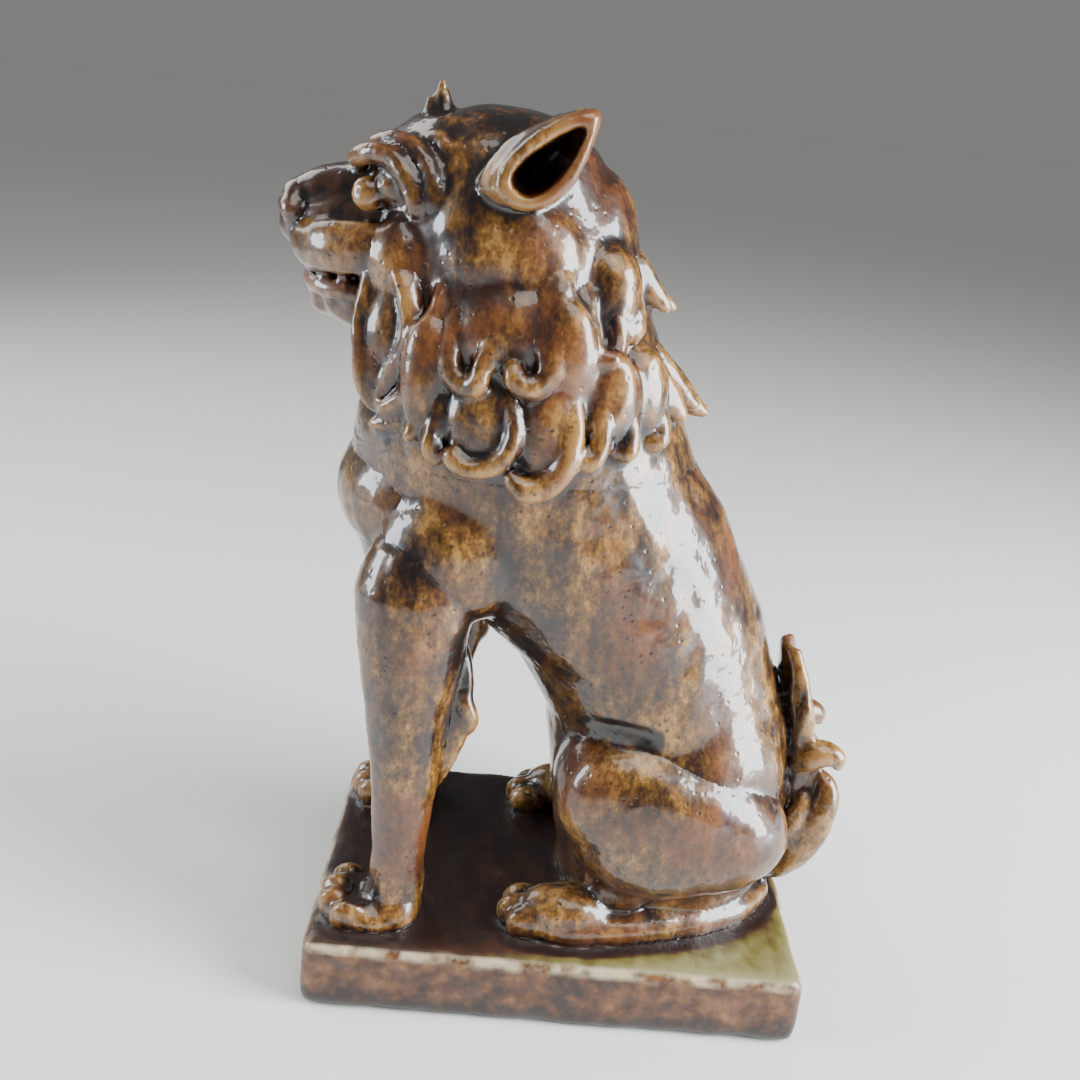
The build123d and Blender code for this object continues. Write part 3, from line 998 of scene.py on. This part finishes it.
@dataclass
class Luting:
    """Works the joints between the pieces over, finds where glaze collects, and adds painted shade in a
    few places.

    One skin is drawn over the whole dog and softened. Each piece's outside then follows it,
    and each piece dips a little under its neighbour where the skin belongs to that one.
    """

    grain: float = 0.8
    soften: int = 5
    mark_size: float = 9.0
    mark_depth: float = 0.9
    fine_rounds: int = 6
    broad_rounds: int = 60
    depth_gain: tuple[float, float] = (0.7, 0.22)
    reach: float = 2.6
    fade_from: float = 0.6
    tuck: float = 0.6
    seam_rounds: int = 3
    seam_share: float = 0.35
    shade_and_pool_reach: float = 1.4
    # How near to the dog, and how strongly, the plinth's glaze is darkened: painted contact shadow and
    # pooled glaze round the feet.
    contact: float = 3.6
    contact_reach: float = 1.25
    contact_shade_and_pool: float = 0.5
    # Paths that darken the glaze colour within their radius, by their strength. In order: along the
    # haunch crease; painted shade in the armpit; low along the rear of the haunch; painted shade over the
    # crown; in the fore paw's dip; in the groove over the hind foot; in the fold under the eye.
    painted_shade_and_pool_paths: tuple = (
        (((24, -5, 76), (26.5, 0, 79), (29, 6, 81), (31, 12, 81.5), (31.6, 18, 80.6)), 2.8, 0.9),
        (((17, -28, 109), (25, -27, 101), (27, -18, 86), (24, -13, 70)), 9.0, 0.30),
        (((33, 26, 46), (30, 44, 40), (20, 54, 40)), 7.0, 0.12),
        (((0, -46, 214), (0, -32, 220), (0, -18, 214)), 19.0, 0.11),
        (((24, -53, 30), (28, -52.6, 30), (32, -51.5, 29.5)), 4.2, 0.70),
        (((33, 26, 29), (31, 38, 32), (27, 48, 36), (20, 56, 38)), 3.6, 0.45),
        (((18, -54, 197), (20, -47, 196), (25, -41, 194)), 2.6, 0.30),
    )

    def draw(self, pieces: Sequence[Piece]) -> Object:
        """Draws one closed skin over copies of all the pieces, with soft hand marks.

        Args:
            pieces: All the pieces, in millimetres.

        Returns:
            The skin.
        """
        copies = []
        for piece in pieces:
            copy = piece.clay.copy()
            copy.data = piece.clay.data.copy()
            bpy.context.scene.collection.objects.link(copy)
            copies.append(copy)
        cover = join(copies)
        remesh(cover, self.grain, self.soften)
        clouds = bpy.data.textures.new("hand_marks", "CLOUDS")
        clouds.noise_scale = self.mark_size
        apply_modifier(cover, "DISPLACE", texture=clouds, strength=self.mark_depth, mid_level=0.5,
                       texture_coords="LOCAL")
        return cover

    def read(self, pieces: Sequence[Piece]) -> Skin:
        """Draws the skin, then finds its hollows and which piece each part of it covers.

        Args:
            pieces: All the pieces, in millimetres.

        Returns:
            The skin.
        """
        owners, points, faces = [], [], []
        for number, piece in enumerate(pieces):
            mesh = piece.clay.data
            mesh.calc_loop_triangles()
            corners = np.empty(3 * len(mesh.loop_triangles), np.int32)
            mesh.loop_triangles.foreach_get("vertices", corners)
            start = sum(len(block) for block in points)
            points.append(read_points(mesh))
            faces.append(corners.reshape(-1, 3) + start)
            owners += [number] * len(faces[-1])
        all_points = np.concatenate(points).tolist()
        clay = BVHTree.FromPolygons(all_points, np.concatenate(faces).tolist())
        dog_faces = [block for block, piece in zip(faces, pieces) if piece.slot is not Slot.PLINTH]
        dog = BVHTree.FromPolygons(all_points, np.concatenate(dog_faces).tolist())
        cover = self.draw(pieces)
        places = read_points(cover.data)
        normals = read_points(cover.data, "normals")
        edges = np.empty(2 * len(cover.data.edges), np.int32)
        cover.data.edges.foreach_get("vertices", edges)
        edges = edges.reshape(-1, 2)
        fine = relaxed(places, edges, self.fine_rounds)
        broad = relaxed(fine, edges, self.broad_rounds)
        depth = np.stack([np.einsum("ij,ij->i", level - places, normals) for level in (fine, broad)], 1)
        owner = np.array([owners[clay.find_nearest(place)[2]] for place in places.tolist()])
        quads = [tuple(face.vertices) for face in cover.data.polygons]
        bpy.data.objects.remove(cover)
        return Skin(places, quads, edges, depth, owner, BVHTree.FromPolygons(places.tolist(), quads), dog)

    def settle(self, pieces: Sequence[Piece]) -> None:
        """Lets each piece follow the skin and stores the glaze's depth on it, with painted shade added in
        a few places.

        Args:
            pieces: All the pieces, in millimetres.
        """
        skin = self.read(pieces)
        for number, piece in enumerate(pieces):
            owned = relaxed((skin.owner == number).astype(float)[:, None], skin.edges,
                            self.seam_rounds)[:, 0]
            self.follow(piece, skin, owned)

    def follow(self, piece: Piece, skin: Skin, owned: np.ndarray) -> None:
        """Moves one piece's points onto the skin, and stores how deep the glaze lies there, with painted
        shade added along a few paths and, on the plinth, round the dog's feet.

        Args:
            piece: The piece to settle.
            skin: The skin over the whole dog.
            owned: For each point of the skin, how much of it covers this piece.
        """
        mesh = piece.clay.data
        current = read_points(mesh)
        moved = current.copy()
        pool = np.zeros((len(current), 4))
        pool[:, 3] = 1
        for index, place in enumerate(current.tolist()):
            spot, normal, face, distance = skin.tree.find_nearest(place)
            corners = list(skin.quads[face])
            gaps = np.linalg.norm(skin.places[corners] - np.array(spot), axis=1) + 1e-3
            weights = (1 / gaps) / (1 / gaps).sum()
            pool[index, :2] = 0.5 + weights @ skin.depth[corners] * self.depth_gain
            own = float(weights @ owned[corners])
            pool[index, 2] = own
            if distance < self.reach:
                under = self.tuck * max(0.0, 1 - own / self.seam_share)
                fade = 1 - max(0.0, distance / self.reach - self.fade_from) / (1 - self.fade_from)
                target = np.array(spot) - np.array(normal) * under
                moved[index] = current[index] + (target - current[index]) * fade
        # Darkens the glaze colour along the listed paths: painted shade in the armpit and over the crown,
        # and darker lines in the creases and dips elsewhere.
        for path, radius, strength in self.painted_shade_and_pool_paths:
            for side in (path, mirror_path(path)):
                spine = np.array([place[:] for place, _ in smooth_path(side, [0] * len(side), 6)])
                gap = np.min(np.linalg.norm(current[:, None, :] - spine[None], axis=2), axis=1)
                pool[:, 0] += strength * np.clip(self.shade_and_pool_reach - gap / radius, 0, 1)
        # Painted contact shadow and pooled glaze: darkens the plinth's glaze where it lies near the dog.
        if piece.slot is Slot.PLINTH:
            gap = np.array([skin.dog.find_nearest(place)[3] for place in current.tolist()])
            pool[:, 1] += self.contact_shade_and_pool * np.clip(self.contact_reach - gap / self.contact, 0, 1)
        mesh.vertices.foreach_set("co", moved.astype(np.float32).ravel())
        # Stored for each point: the fine glaze depth with painted shade added, the broad glaze depth with
        # the plinth's painted contact shadow added, and the piece's own share of the skin.
        store = mesh.color_attributes.new("glaze", "FLOAT_COLOR", "POINT")
        store.data.foreach_set("color", np.clip(pool, 0, 1).astype(np.float32).ravel())
        mesh.update()


# --- Finishes -------------------------------------------------------------------------------


class Recipe:
    """A material's node tree, built up node by node."""

    def __init__(self, name: str) -> None:
        """Starts an empty recipe with a glossy clay shader.

        Args:
            name: The material's name.
        """
        self.material: Material = bpy.data.materials.new(name)
        self.material.use_nodes = True
        self.tree = self.material.node_tree
        self.shader: ShaderNode = self.tree.nodes["Principled BSDF"]

    def node(self, kind: str, inputs: dict[str | int, object] | None = None,
             **settings: object) -> ShaderNode:
        """Adds a node, sets its properties and feeds its inputs.

        Args:
            kind: The node's type.
            inputs: A value or a socket for each named or numbered input.
            **settings: The node's own properties.

        Returns:
            The new node.
        """
        node = self.tree.nodes.new(kind)
        for key, value in settings.items():
            setattr(node, key, value)
        for key, value in (inputs or {}).items():
            if isinstance(value, NodeSocket):
                self.tree.links.new(value, node.inputs[key])
            else:
                node.inputs[key].default_value = value
        return node

    def math(self, operation: str, first: object, second: object = 0.0,
             clamp: bool = False) -> NodeSocket:
        """Does one sum on two values or sockets.

        Args:
            operation: Blender's name for the sum.
            first: The first value.
            second: The second value.
            clamp: Whether the result is kept between 0 and 1.

        Returns:
            The result's socket.
        """
        return self.node("ShaderNodeMath", {0: first, 1: second}, operation=operation,
                         use_clamp=clamp).outputs[0]

    def about_half(self, source: object, gain: float) -> NodeSocket:
        """How far a value lies above one half, times a gain."""
        return self.math("MULTIPLY", self.math("SUBTRACT", source, 0.5), gain)

    def total(self, *terms: object) -> NodeSocket | object:
        """Adds up several values or sockets.

        Args:
            *terms: What is added, in this order.

        Returns:
            The sum's socket.
        """
        sum_so_far = terms[0]
        for term in terms[1:]:
            sum_so_far = self.math("ADD", sum_so_far, term)
        return sum_so_far

    def fade(self, share: object, start: float, end: float, level: float = 1.0) -> NodeSocket:
        """Rises from nothing at the start to a level at the end."""
        return self.ramp(share, ((start, BLACK), (end, (level,) * 3)))

    def hollows(self) -> tuple[NodeSocket, NodeSocket]:
        """The fine and the broad hollowness stored on the piece, where one half is level, each with
        painted shade added in a few places.
        """
        stored = self.node("ShaderNodeVertexColor", layer_name="glaze").outputs[0]
        depth = self.node("ShaderNodeSeparateColor", {0: stored})
        return depth.outputs[0], depth.outputs[1]

    def surface(self, colour: NodeSocket, relief: object, strength: float, distance: float) -> None:
        """Gives the shader its colour and its relief.

        Args:
            colour: The colour's socket.
            relief: The height of the relief.
            strength: How strongly it shows.
            distance: How deep it is, in metres.
        """
        bump = self.node("ShaderNodeBump", {"Strength": strength, "Distance": distance, "Height": relief})
        self.tree.links.new(colour, self.shader.inputs["Base Color"])
        self.tree.links.new(bump.outputs[0], self.shader.inputs["Normal"])
        self.tree.links.new(bump.outputs[0], self.shader.inputs["Coat Normal"])

    def mix(self, share: object, first: object, second: object) -> NodeSocket:
        """Mixes two colours.

        Args:
            share: How much of the second colour there is.
            first: The first colour.
            second: The second colour.

        Returns:
            The mixed colour's socket.
        """
        node = self.node("ShaderNodeMix", data_type="RGBA")
        for socket, value in zip((node.inputs[0], node.inputs[6], node.inputs[7]),
                                 (share, first, second)):
            if isinstance(value, NodeSocket):
                self.tree.links.new(value, socket)
            else:
                socket.default_value = value
        return node.outputs[2]

    def noise(self, scale: float, stretch: Point = (1, 1, 1), detail: float = 3.0,
              shift: float = 0.0) -> NodeSocket:
        """Makes noise on the object's own coordinates.

        Args:
            scale: Features per metre.
            stretch: How much finer the noise is along X, Y and Z.
            detail: How many finer layers it has.
            shift: How far it is moved, so that two noises differ.

        Returns:
            The noise's socket.
        """
        place = self.node("ShaderNodeTexCoord").outputs["Object"]
        mapped = self.node("ShaderNodeMapping",
                           {"Vector": place, "Scale": stretch, "Location": (shift,) * 3})
        return self.node("ShaderNodeTexNoise",
                         {"Vector": mapped.outputs[0], "Scale": scale, "Detail": detail,
                          "Roughness": 0.55}).outputs[0]

    def ramp(self, share: object, stops: Stops) -> NodeSocket:
        """Blends from stop to stop.

        Args:
            share: Where between the stops the colour is taken.
            stops: A position and a colour for each stop.

        Returns:
            The colour's socket.
        """
        node = self.node("ShaderNodeValToRGB", {0: share})
        elements = node.color_ramp.elements
        while len(elements) < len(stops):
            elements.new(0.5)
        for element, (position, colour) in zip(elements, stops):
            element.position = position
            element.color = (*colour, 1)
        return node.outputs[0]


@dataclass(frozen=True)
class Mottle:
    """One layer of unevenness in a glaze: its features per metre and how much it counts."""

    scale: float
    stretch: Point
    detail: float
    shift: float
    strength: float


@dataclass(frozen=True)
class Glaze:
    """A running glaze: pale where it is thin, dark where it lies thick in hollows and where shade is
    painted.
    """

    name: str
    thin: Colour = (0.28, 0.145, 0.040)
    body: Colour = (0.150, 0.064, 0.010)
    olive: Colour = (0.072, 0.032, 0.0045)
    brown: Colour = (0.032, 0.0088, 0.0024)
    pooled: Colour = (0.005, 0.0022, 0.0016)
    blush: Colour = (0.128, 0.036, 0.009)
    pinhole: Colour = (0.022, 0.009, 0.005)
    stops: tuple = (0.02, 0.28, 0.50, 0.72, 0.95)
    thickness: float = 0.0
    level: float = 0.55
    hollow_and_shade_gain: float = 2.6
    ridge_gain: float = 1.0
    broad_gain: float = 0.9
    clouds: Mottle = Mottle(55, (1, 1, 1), 4, 0.0, 1.1)
    runs: Mottle = Mottle(160, (1, 1, 0.28), 4, 3.1, 1.9)
    flecks: Mottle = Mottle(520, (1, 1, 0.7), 3, 7.7, 1.3)
    grit: Mottle = Mottle(1300, (1, 1, 0.8), 2, 4.4, 0.7)
    blush_patches: Mottle = Mottle(38, (1, 1, 1), 3, 11.0, 0.85)
    blush_edge: tuple = (0.47, 0.62)
    pinholes: float = 400.0
    pinhole_share: float = 0.42
    pinhole_edge: tuple = (0.10, 0.26)
    pinhole_strength: float = 0.85
    pinhole_depth: float = 0.35
    ripple: Mottle = Mottle(210, (1, 1, 1), 2, 5.0, 0.8)
    relief: tuple = (0.35, 0.0007)
    roughness: float = 0.34
    coat: float = 0.8
    coat_roughness: float = 0.06

    def amount(self, recipe: Recipe) -> NodeSocket:
        """Works out how thick the glaze lies, from the hollows with their painted shade, and from the
        mottles.

        Args:
            recipe: The material's recipe.

        Returns:
            The thickness, from 0 to 1.
        """
        fine, broad = recipe.hollows()
        above = recipe.math("SUBTRACT", fine, 0.5)
        # The fine hollowness also carries painted shade laid along a few paths, such as the armpit and
        # the crown, so this term darkens those too.
        hollow = recipe.math("MULTIPLY", recipe.math("MAXIMUM", above, 0.0), self.hollow_and_shade_gain)
        ridge = recipe.math("MULTIPLY", recipe.math("MINIMUM", above, 0.0), self.ridge_gain)
        terms = [hollow, ridge, self.thickness, recipe.about_half(broad, self.broad_gain)]
        for mottle in (self.clouds, self.runs, self.flecks, self.grit):
            noise = recipe.noise(mottle.scale, mottle.stretch, mottle.detail, mottle.shift)
            terms.append(recipe.about_half(noise, mottle.strength))
        return recipe.math("ADD", recipe.total(*terms), self.level, clamp=True)

    def pinhole_mask(self, recipe: Recipe) -> NodeSocket:
        """Scatters pinholes over the glaze.

        Args:
            recipe: The material's recipe.

        Returns:
            1 inside a pinhole and 0 outside.
        """
        place = recipe.node("ShaderNodeTexCoord").outputs["Object"]
        cells = recipe.node("ShaderNodeTexVoronoi",
                            {"Vector": place, "Scale": self.pinholes, "Randomness": 1.0})
        number = recipe.node("ShaderNodeSeparateColor", {0: cells.outputs["Color"]}).outputs[0]
        chosen = recipe.ramp(number, ((self.pinhole_share, WHITE), (self.pinhole_share + 0.02, BLACK)))
        near, far = self.pinhole_edge
        hole = recipe.ramp(cells.outputs["Distance"], ((near, WHITE), (far, BLACK)))
        return recipe.math("MULTIPLY", chosen, hole)

    def material(self) -> Material:
        """Builds the glaze's material.

        Returns:
            The finished material.
        """
        recipe = Recipe(self.name)
        amount = self.amount(recipe)
        tones = (self.thin, self.body, self.olive, self.brown, self.pooled)
        colour = recipe.ramp(amount, tuple(zip(self.stops, tones)))
        patches = recipe.noise(self.blush_patches.scale, detail=self.blush_patches.detail,
                               shift=self.blush_patches.shift)
        warm = recipe.fade(patches, *self.blush_edge, self.blush_patches.strength)
        colour = recipe.mix(warm, colour, recipe.mix(amount, (*self.blush, 1), (*self.brown, 1)))
        pinhole = self.pinhole_mask(recipe)
        pinhole_share = recipe.math("MULTIPLY", pinhole, self.pinhole_strength)
        colour = recipe.mix(pinhole_share, colour, (*self.pinhole, 1))
        ripple = recipe.noise(self.ripple.scale, detail=self.ripple.detail, shift=self.ripple.shift)
        relief = recipe.math("SUBTRACT", recipe.math("MULTIPLY", ripple, self.ripple.strength),
                             recipe.math("MULTIPLY", pinhole, self.pinhole_depth))
        recipe.surface(colour, relief, *self.relief)
        recipe.shader.inputs["Roughness"].default_value = self.roughness
        recipe.shader.inputs["Coat Weight"].default_value = self.coat
        recipe.shader.inputs["Coat Roughness"].default_value = self.coat_roughness
        return recipe.material


@dataclass(frozen=True)
class PlinthGlaze:
    """The slab's glaze: black-brown pools on top, thin and mottled down its sides."""

    name: str = "plinth_glaze"
    clouds: Mottle = Mottle(45, (1, 1, 1), 4, 0.0, 0.55)
    mottle: Mottle = Mottle(230, (1, 1, 1), 4, 3.0, 0.55)
    top_clouds: float = 0.45
    side_tones: Stops = ((0.36, (0.27, 0.155, 0.065)), (0.46, (0.16, 0.066, 0.021)),
                         (0.56, (0.075, 0.025, 0.007)), (0.68, (0.016, 0.006, 0.003)))
    top_tones: Stops = ((0.06, (0.20, 0.18, 0.075)), (0.22, (0.115, 0.092, 0.018)),
                        (0.38, (0.038, 0.013, 0.005)), (0.58, (0.012, 0.004, 0.0025)))
    foot_height: tuple = (0.0015, 0.0075)
    foot_dark: float = 0.22
    pool_gain: float = 1.6
    broad_gain: float = 1.2
    least_broad: float = -0.06
    olive_from: float = 0.030
    olive_rear_slope: float = -14.0
    olive_side_slope: float = -26.0
    olive_gain: float = 0.42
    flat_top: Stops = ((0.55, BLACK), (0.93, WHITE))
    round_edge: Stops = ((0.12, BLACK), (0.45, WHITE), (0.72, WHITE), (0.93, BLACK))
    chips: Mottle = Mottle(120, (1, 1, 1), 3, 9.0, 0.8)
    chip_edge: tuple = (0.40, 0.58)
    chip: Colour = (0.52, 0.44, 0.29)
    ripple: Mottle = Mottle(170, (1, 1, 1), 3, 5.0, 1.0)
    relief: tuple = (0.5, 0.0008)
    roughness: float = 0.45
    coat: float = 0.35
    coat_roughness: float = 0.12

    def side(self, recipe: Recipe, clouds: NodeSocket, height: NodeSocket) -> NodeSocket:
        """Colours the sides, darker towards the foot.

        Args:
            recipe: The material's recipe.
            clouds: The broad noise.
            height: The height above the floor, in metres.

        Returns:
            The colour.
        """
        mottle = recipe.noise(self.mottle.scale, self.mottle.stretch, self.mottle.detail,
                              self.mottle.shift)
        start, end = self.foot_height
        low = recipe.ramp(height, ((start, (self.foot_dark,) * 3), (end, BLACK)))
        amount = recipe.total(recipe.math("MULTIPLY", clouds, self.clouds.strength),
                              recipe.math("MULTIPLY", mottle, self.mottle.strength), low)
        return recipe.ramp(amount, self.side_tones)

    def top(self, recipe: Recipe, clouds: NodeSocket, axes: ShaderNode) -> NodeSocket:
        """Colours the top: dark under the dog, with painted contact shadow and pooled glaze round its
        feet, and olive in its rear left corner.

        Args:
            recipe: The material's recipe.
            clouds: The broad noise.
            axes: The node whose outputs are X, Y and Z in metres.

        Returns:
            The colour.
        """
        fine, broad = recipe.hollows()
        pool = recipe.about_half(fine, self.pool_gain)
        # The broad hollowness here carries the painted contact shadow round the dog's feet.
        broad = recipe.math("MAXIMUM", recipe.about_half(broad, self.broad_gain), self.least_broad)
        rear, outer = (recipe.math("MULTIPLY",
                                   recipe.math("SUBTRACT", axes.outputs[axis], self.olive_from), slope)
                       for axis, slope in ((1, self.olive_rear_slope), (0, self.olive_side_slope)))
        dark = recipe.math("MAXIMUM", rear, outer, clamp=True)
        amount = recipe.total(recipe.math("MULTIPLY", dark, self.olive_gain),
                              recipe.math("MULTIPLY", clouds, self.top_clouds), pool)
        return recipe.ramp(recipe.math("ADD", amount, broad, clamp=True), self.top_tones)

    def material(self) -> Material:
        """Builds the slab's material.

        Returns:
            The finished material.
        """
        recipe = Recipe(self.name)
        axes = recipe.node("ShaderNodeSeparateXYZ",
                           {0: recipe.node("ShaderNodeTexCoord").outputs["Object"]})
        facing = recipe.node("ShaderNodeSeparateXYZ",
                             {0: recipe.node("ShaderNodeNewGeometry").outputs["Normal"]})
        clouds = recipe.noise(self.clouds.scale, detail=self.clouds.detail)
        colour = recipe.mix(recipe.ramp(facing.outputs[2], self.flat_top),
                            self.side(recipe, clouds, axes.outputs[2]), self.top(recipe, clouds, axes))
        chips = recipe.noise(self.chips.scale, detail=self.chips.detail, shift=self.chips.shift)
        chipped = recipe.math("MULTIPLY", recipe.ramp(facing.outputs[2], self.round_edge),
                              recipe.fade(chips, *self.chip_edge, self.chips.strength))
        colour = recipe.mix(chipped, colour, (*self.chip, 1))
        ripple = recipe.noise(self.ripple.scale, detail=self.ripple.detail, shift=self.ripple.shift)
        recipe.surface(colour, ripple, *self.relief)
        recipe.shader.inputs["Roughness"].default_value = self.roughness
        recipe.shader.inputs["Coat Weight"].default_value = self.coat
        recipe.shader.inputs["Coat Roughness"].default_value = self.coat_roughness
        return recipe.material


def finishes() -> dict[Finish, Material]:
    """Mixes every glaze.

    Returns:
        The material of each finish.
    """
    iron = Glaze("iron_glaze", thin=(0.11, 0.046, 0.022), body=(0.06, 0.022, 0.009),
                 olive=(0.034, 0.012, 0.005), thickness=0.10)
    mouth = Glaze("mouth_glaze", thin=(0.22, 0.115, 0.06), body=(0.13, 0.055, 0.026),
                  olive=(0.07, 0.022, 0.010), thickness=0.02)
    return {
        Finish.ASH: Glaze("ash_glaze").material(),
        Finish.IRON: iron.material(),
        Finish.MOUTH: mouth.material(),
        Finish.PLINTH: PlinthGlaze().material(),
    }


# --- Studio -----------------------------------------------------------------------------------


@dataclass(frozen=True)
class Lamp:
    """One soft light: where it hangs and how big it is in metres, its watts and its tint."""

    name: str
    place: Point
    size: tuple[float, float]
    power: float
    tint: Colour


@dataclass
class Studio:
    """A pale floor, soft window light from behind and a camera at the dog's left side."""

    camera_place: Point = (0.2656, -0.0193, 0.2226)
    azimuth: float = 88.7
    elevation: float = 21.4
    roll: float = 5.65
    lens: float = 37.0
    sensor: float = 36.0
    floor_size: float = 60.0
    floor_tint: Colour = (0.72, 0.71, 0.69)
    floor_roughness: float = 0.8
    sky_tint: Colour = (0.78, 0.78, 0.79)
    ambient: float = 0.38
    reflected: float = 0.17
    backdrop: float = 0.274
    aim: Point = (0, 0, 0.11)
    lamps: tuple[Lamp, ...] = (
        Lamp("window", (0.20, 0.62, 0.30), (0.40, 0.66), 23, (0.90, 0.96, 1.0)),
        Lamp("doorway", (0.10, -0.62, 0.26), (0.22, 0.30), 4, (0.86, 0.93, 1.0)),
        Lamp("ceiling", (0.25, 0.10, 0.75), (0.5, 0.5), 3, (1.0, 0.96, 0.90)),
        Lamp("far_side", (-0.35, -0.55, 0.55), (0.5, 0.5), 3, (1.0, 0.98, 0.96)),
    )

    def camera(self) -> None:
        """Places the camera and makes it the scene's own."""
        azimuth, elevation = radians(self.azimuth), radians(self.elevation)
        back = Vector((sin(azimuth) * cos(elevation), -cos(azimuth) * cos(elevation), sin(elevation)))
        level = Vector(UP).cross(back).normalized()
        rise = back.cross(level)
        turn = Quaternion(back, radians(self.roll))
        axes = Matrix((turn @ level, turn @ rise, back)).transposed()
        data = bpy.data.cameras.new("camera")
        data.lens = self.lens
        data.sensor_width = self.sensor
        camera = bpy.data.objects.new("camera", data)
        camera.matrix_world = Matrix.Translation(self.camera_place) @ axes.to_4x4()
        bpy.context.scene.collection.objects.link(camera)
        bpy.context.scene.camera = camera

    def hang(self, lamp: Lamp) -> None:
        """Hangs one soft light that points at the dog's middle.

        Args:
            lamp: The light.
        """
        data = bpy.data.lights.new(lamp.name, "AREA")
        data.shape = "RECTANGLE"
        data.size, data.size_y = lamp.size
        data.energy = lamp.power
        data.color = lamp.tint
        light = bpy.data.objects.new(lamp.name, data)
        ray = Vector(self.aim) - Vector(lamp.place)
        light.matrix_world = Matrix.Translation(lamp.place) @ ray.to_track_quat("-Z",
                                                                                "Y").to_matrix().to_4x4()
        light.visible_camera = False
        bpy.context.scene.collection.objects.link(light)

    def floor(self) -> None:
        """Lays a wide pale floor."""
        bpy.ops.object.select_all(action="DESELECT")
        bpy.ops.mesh.primitive_plane_add(size=self.floor_size)
        floor = bpy.context.object
        floor.name = "floor"
        recipe = Recipe("pale_floor")
        recipe.shader.inputs["Base Color"].default_value = (*self.floor_tint, 1)
        recipe.shader.inputs["Roughness"].default_value = self.floor_roughness
        recipe.shader.inputs["Specular IOR Level"].default_value = 0.0
        floor.data.materials.append(recipe.material)

    def sky(self) -> None:
        """Surrounds the scene with even light, of its own strength for each kind of ray."""
        world = bpy.data.worlds.new("studio")
        world.use_nodes = True
        nodes, links = world.node_tree.nodes, world.node_tree.links
        sky = nodes["Background"]
        sky.inputs[0].default_value = (*self.sky_tint, 1)
        ray = nodes.new("ShaderNodeLightPath")
        mirrored_ray, seen_ray = nodes.new("ShaderNodeMix"), nodes.new("ShaderNodeMix")
        mirrored_ray.inputs[2].default_value = self.ambient
        mirrored_ray.inputs[3].default_value = self.reflected
        seen_ray.inputs[3].default_value = self.backdrop
        links.new(ray.outputs["Is Glossy Ray"], mirrored_ray.inputs[0])
        links.new(ray.outputs["Is Camera Ray"], seen_ray.inputs[0])
        links.new(mirrored_ray.outputs[0], seen_ray.inputs[2])
        links.new(seen_ray.outputs[0], sky.inputs[1])
        bpy.context.scene.world = world

    def build(self) -> None:
        """Sets up camera, floor, sky and lamps."""
        self.camera()
        self.floor()
        self.sky()
        for lamp in self.lamps:
            self.hang(lamp)


def hand_over(piece: Piece, glazes: dict[Finish, Material]) -> None:
    """Names and glazes one piece, sets it down in metres and gives it to the frame.

    Args:
        piece: The piece, still in millimetres.
        glazes: The material of each finish.
    """
    clay = piece.clay
    clay.name = clay.data.name = f"fired_{piece.node}"
    clay.data.transform(Matrix.Diagonal((MM, MM, MM, 1)))
    select_only(clay)
    bpy.ops.object.shade_smooth()
    clay.data.materials.clear()
    clay.data.materials.append(glazes[piece.finish])
    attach(piece.clay, "root")
    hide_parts(piece.node)
    LOG.info("%s: %d faces", clay.name, len(clay.data.polygons))


def main() -> None:
    """Builds the dog, lutes and glazes it, and sets up the studio."""
    logging.basicConfig(level=logging.INFO, format="%(name)s: %(message)s")
    Studio().build()
    makers = (Torso(), Head(), Face(), Ear(), Forequarters(), Hindquarters(), Tail(), Mane(), Plinth())
    pieces = [piece for maker in makers for piece in maker.build()]
    LOG.info("shaped %d pieces", len(pieces))
    Luting().settle(pieces)
    glazes = finishes()
    for piece in pieces:
        hand_over(piece, glazes)


if __name__ == "__main__":
    main()
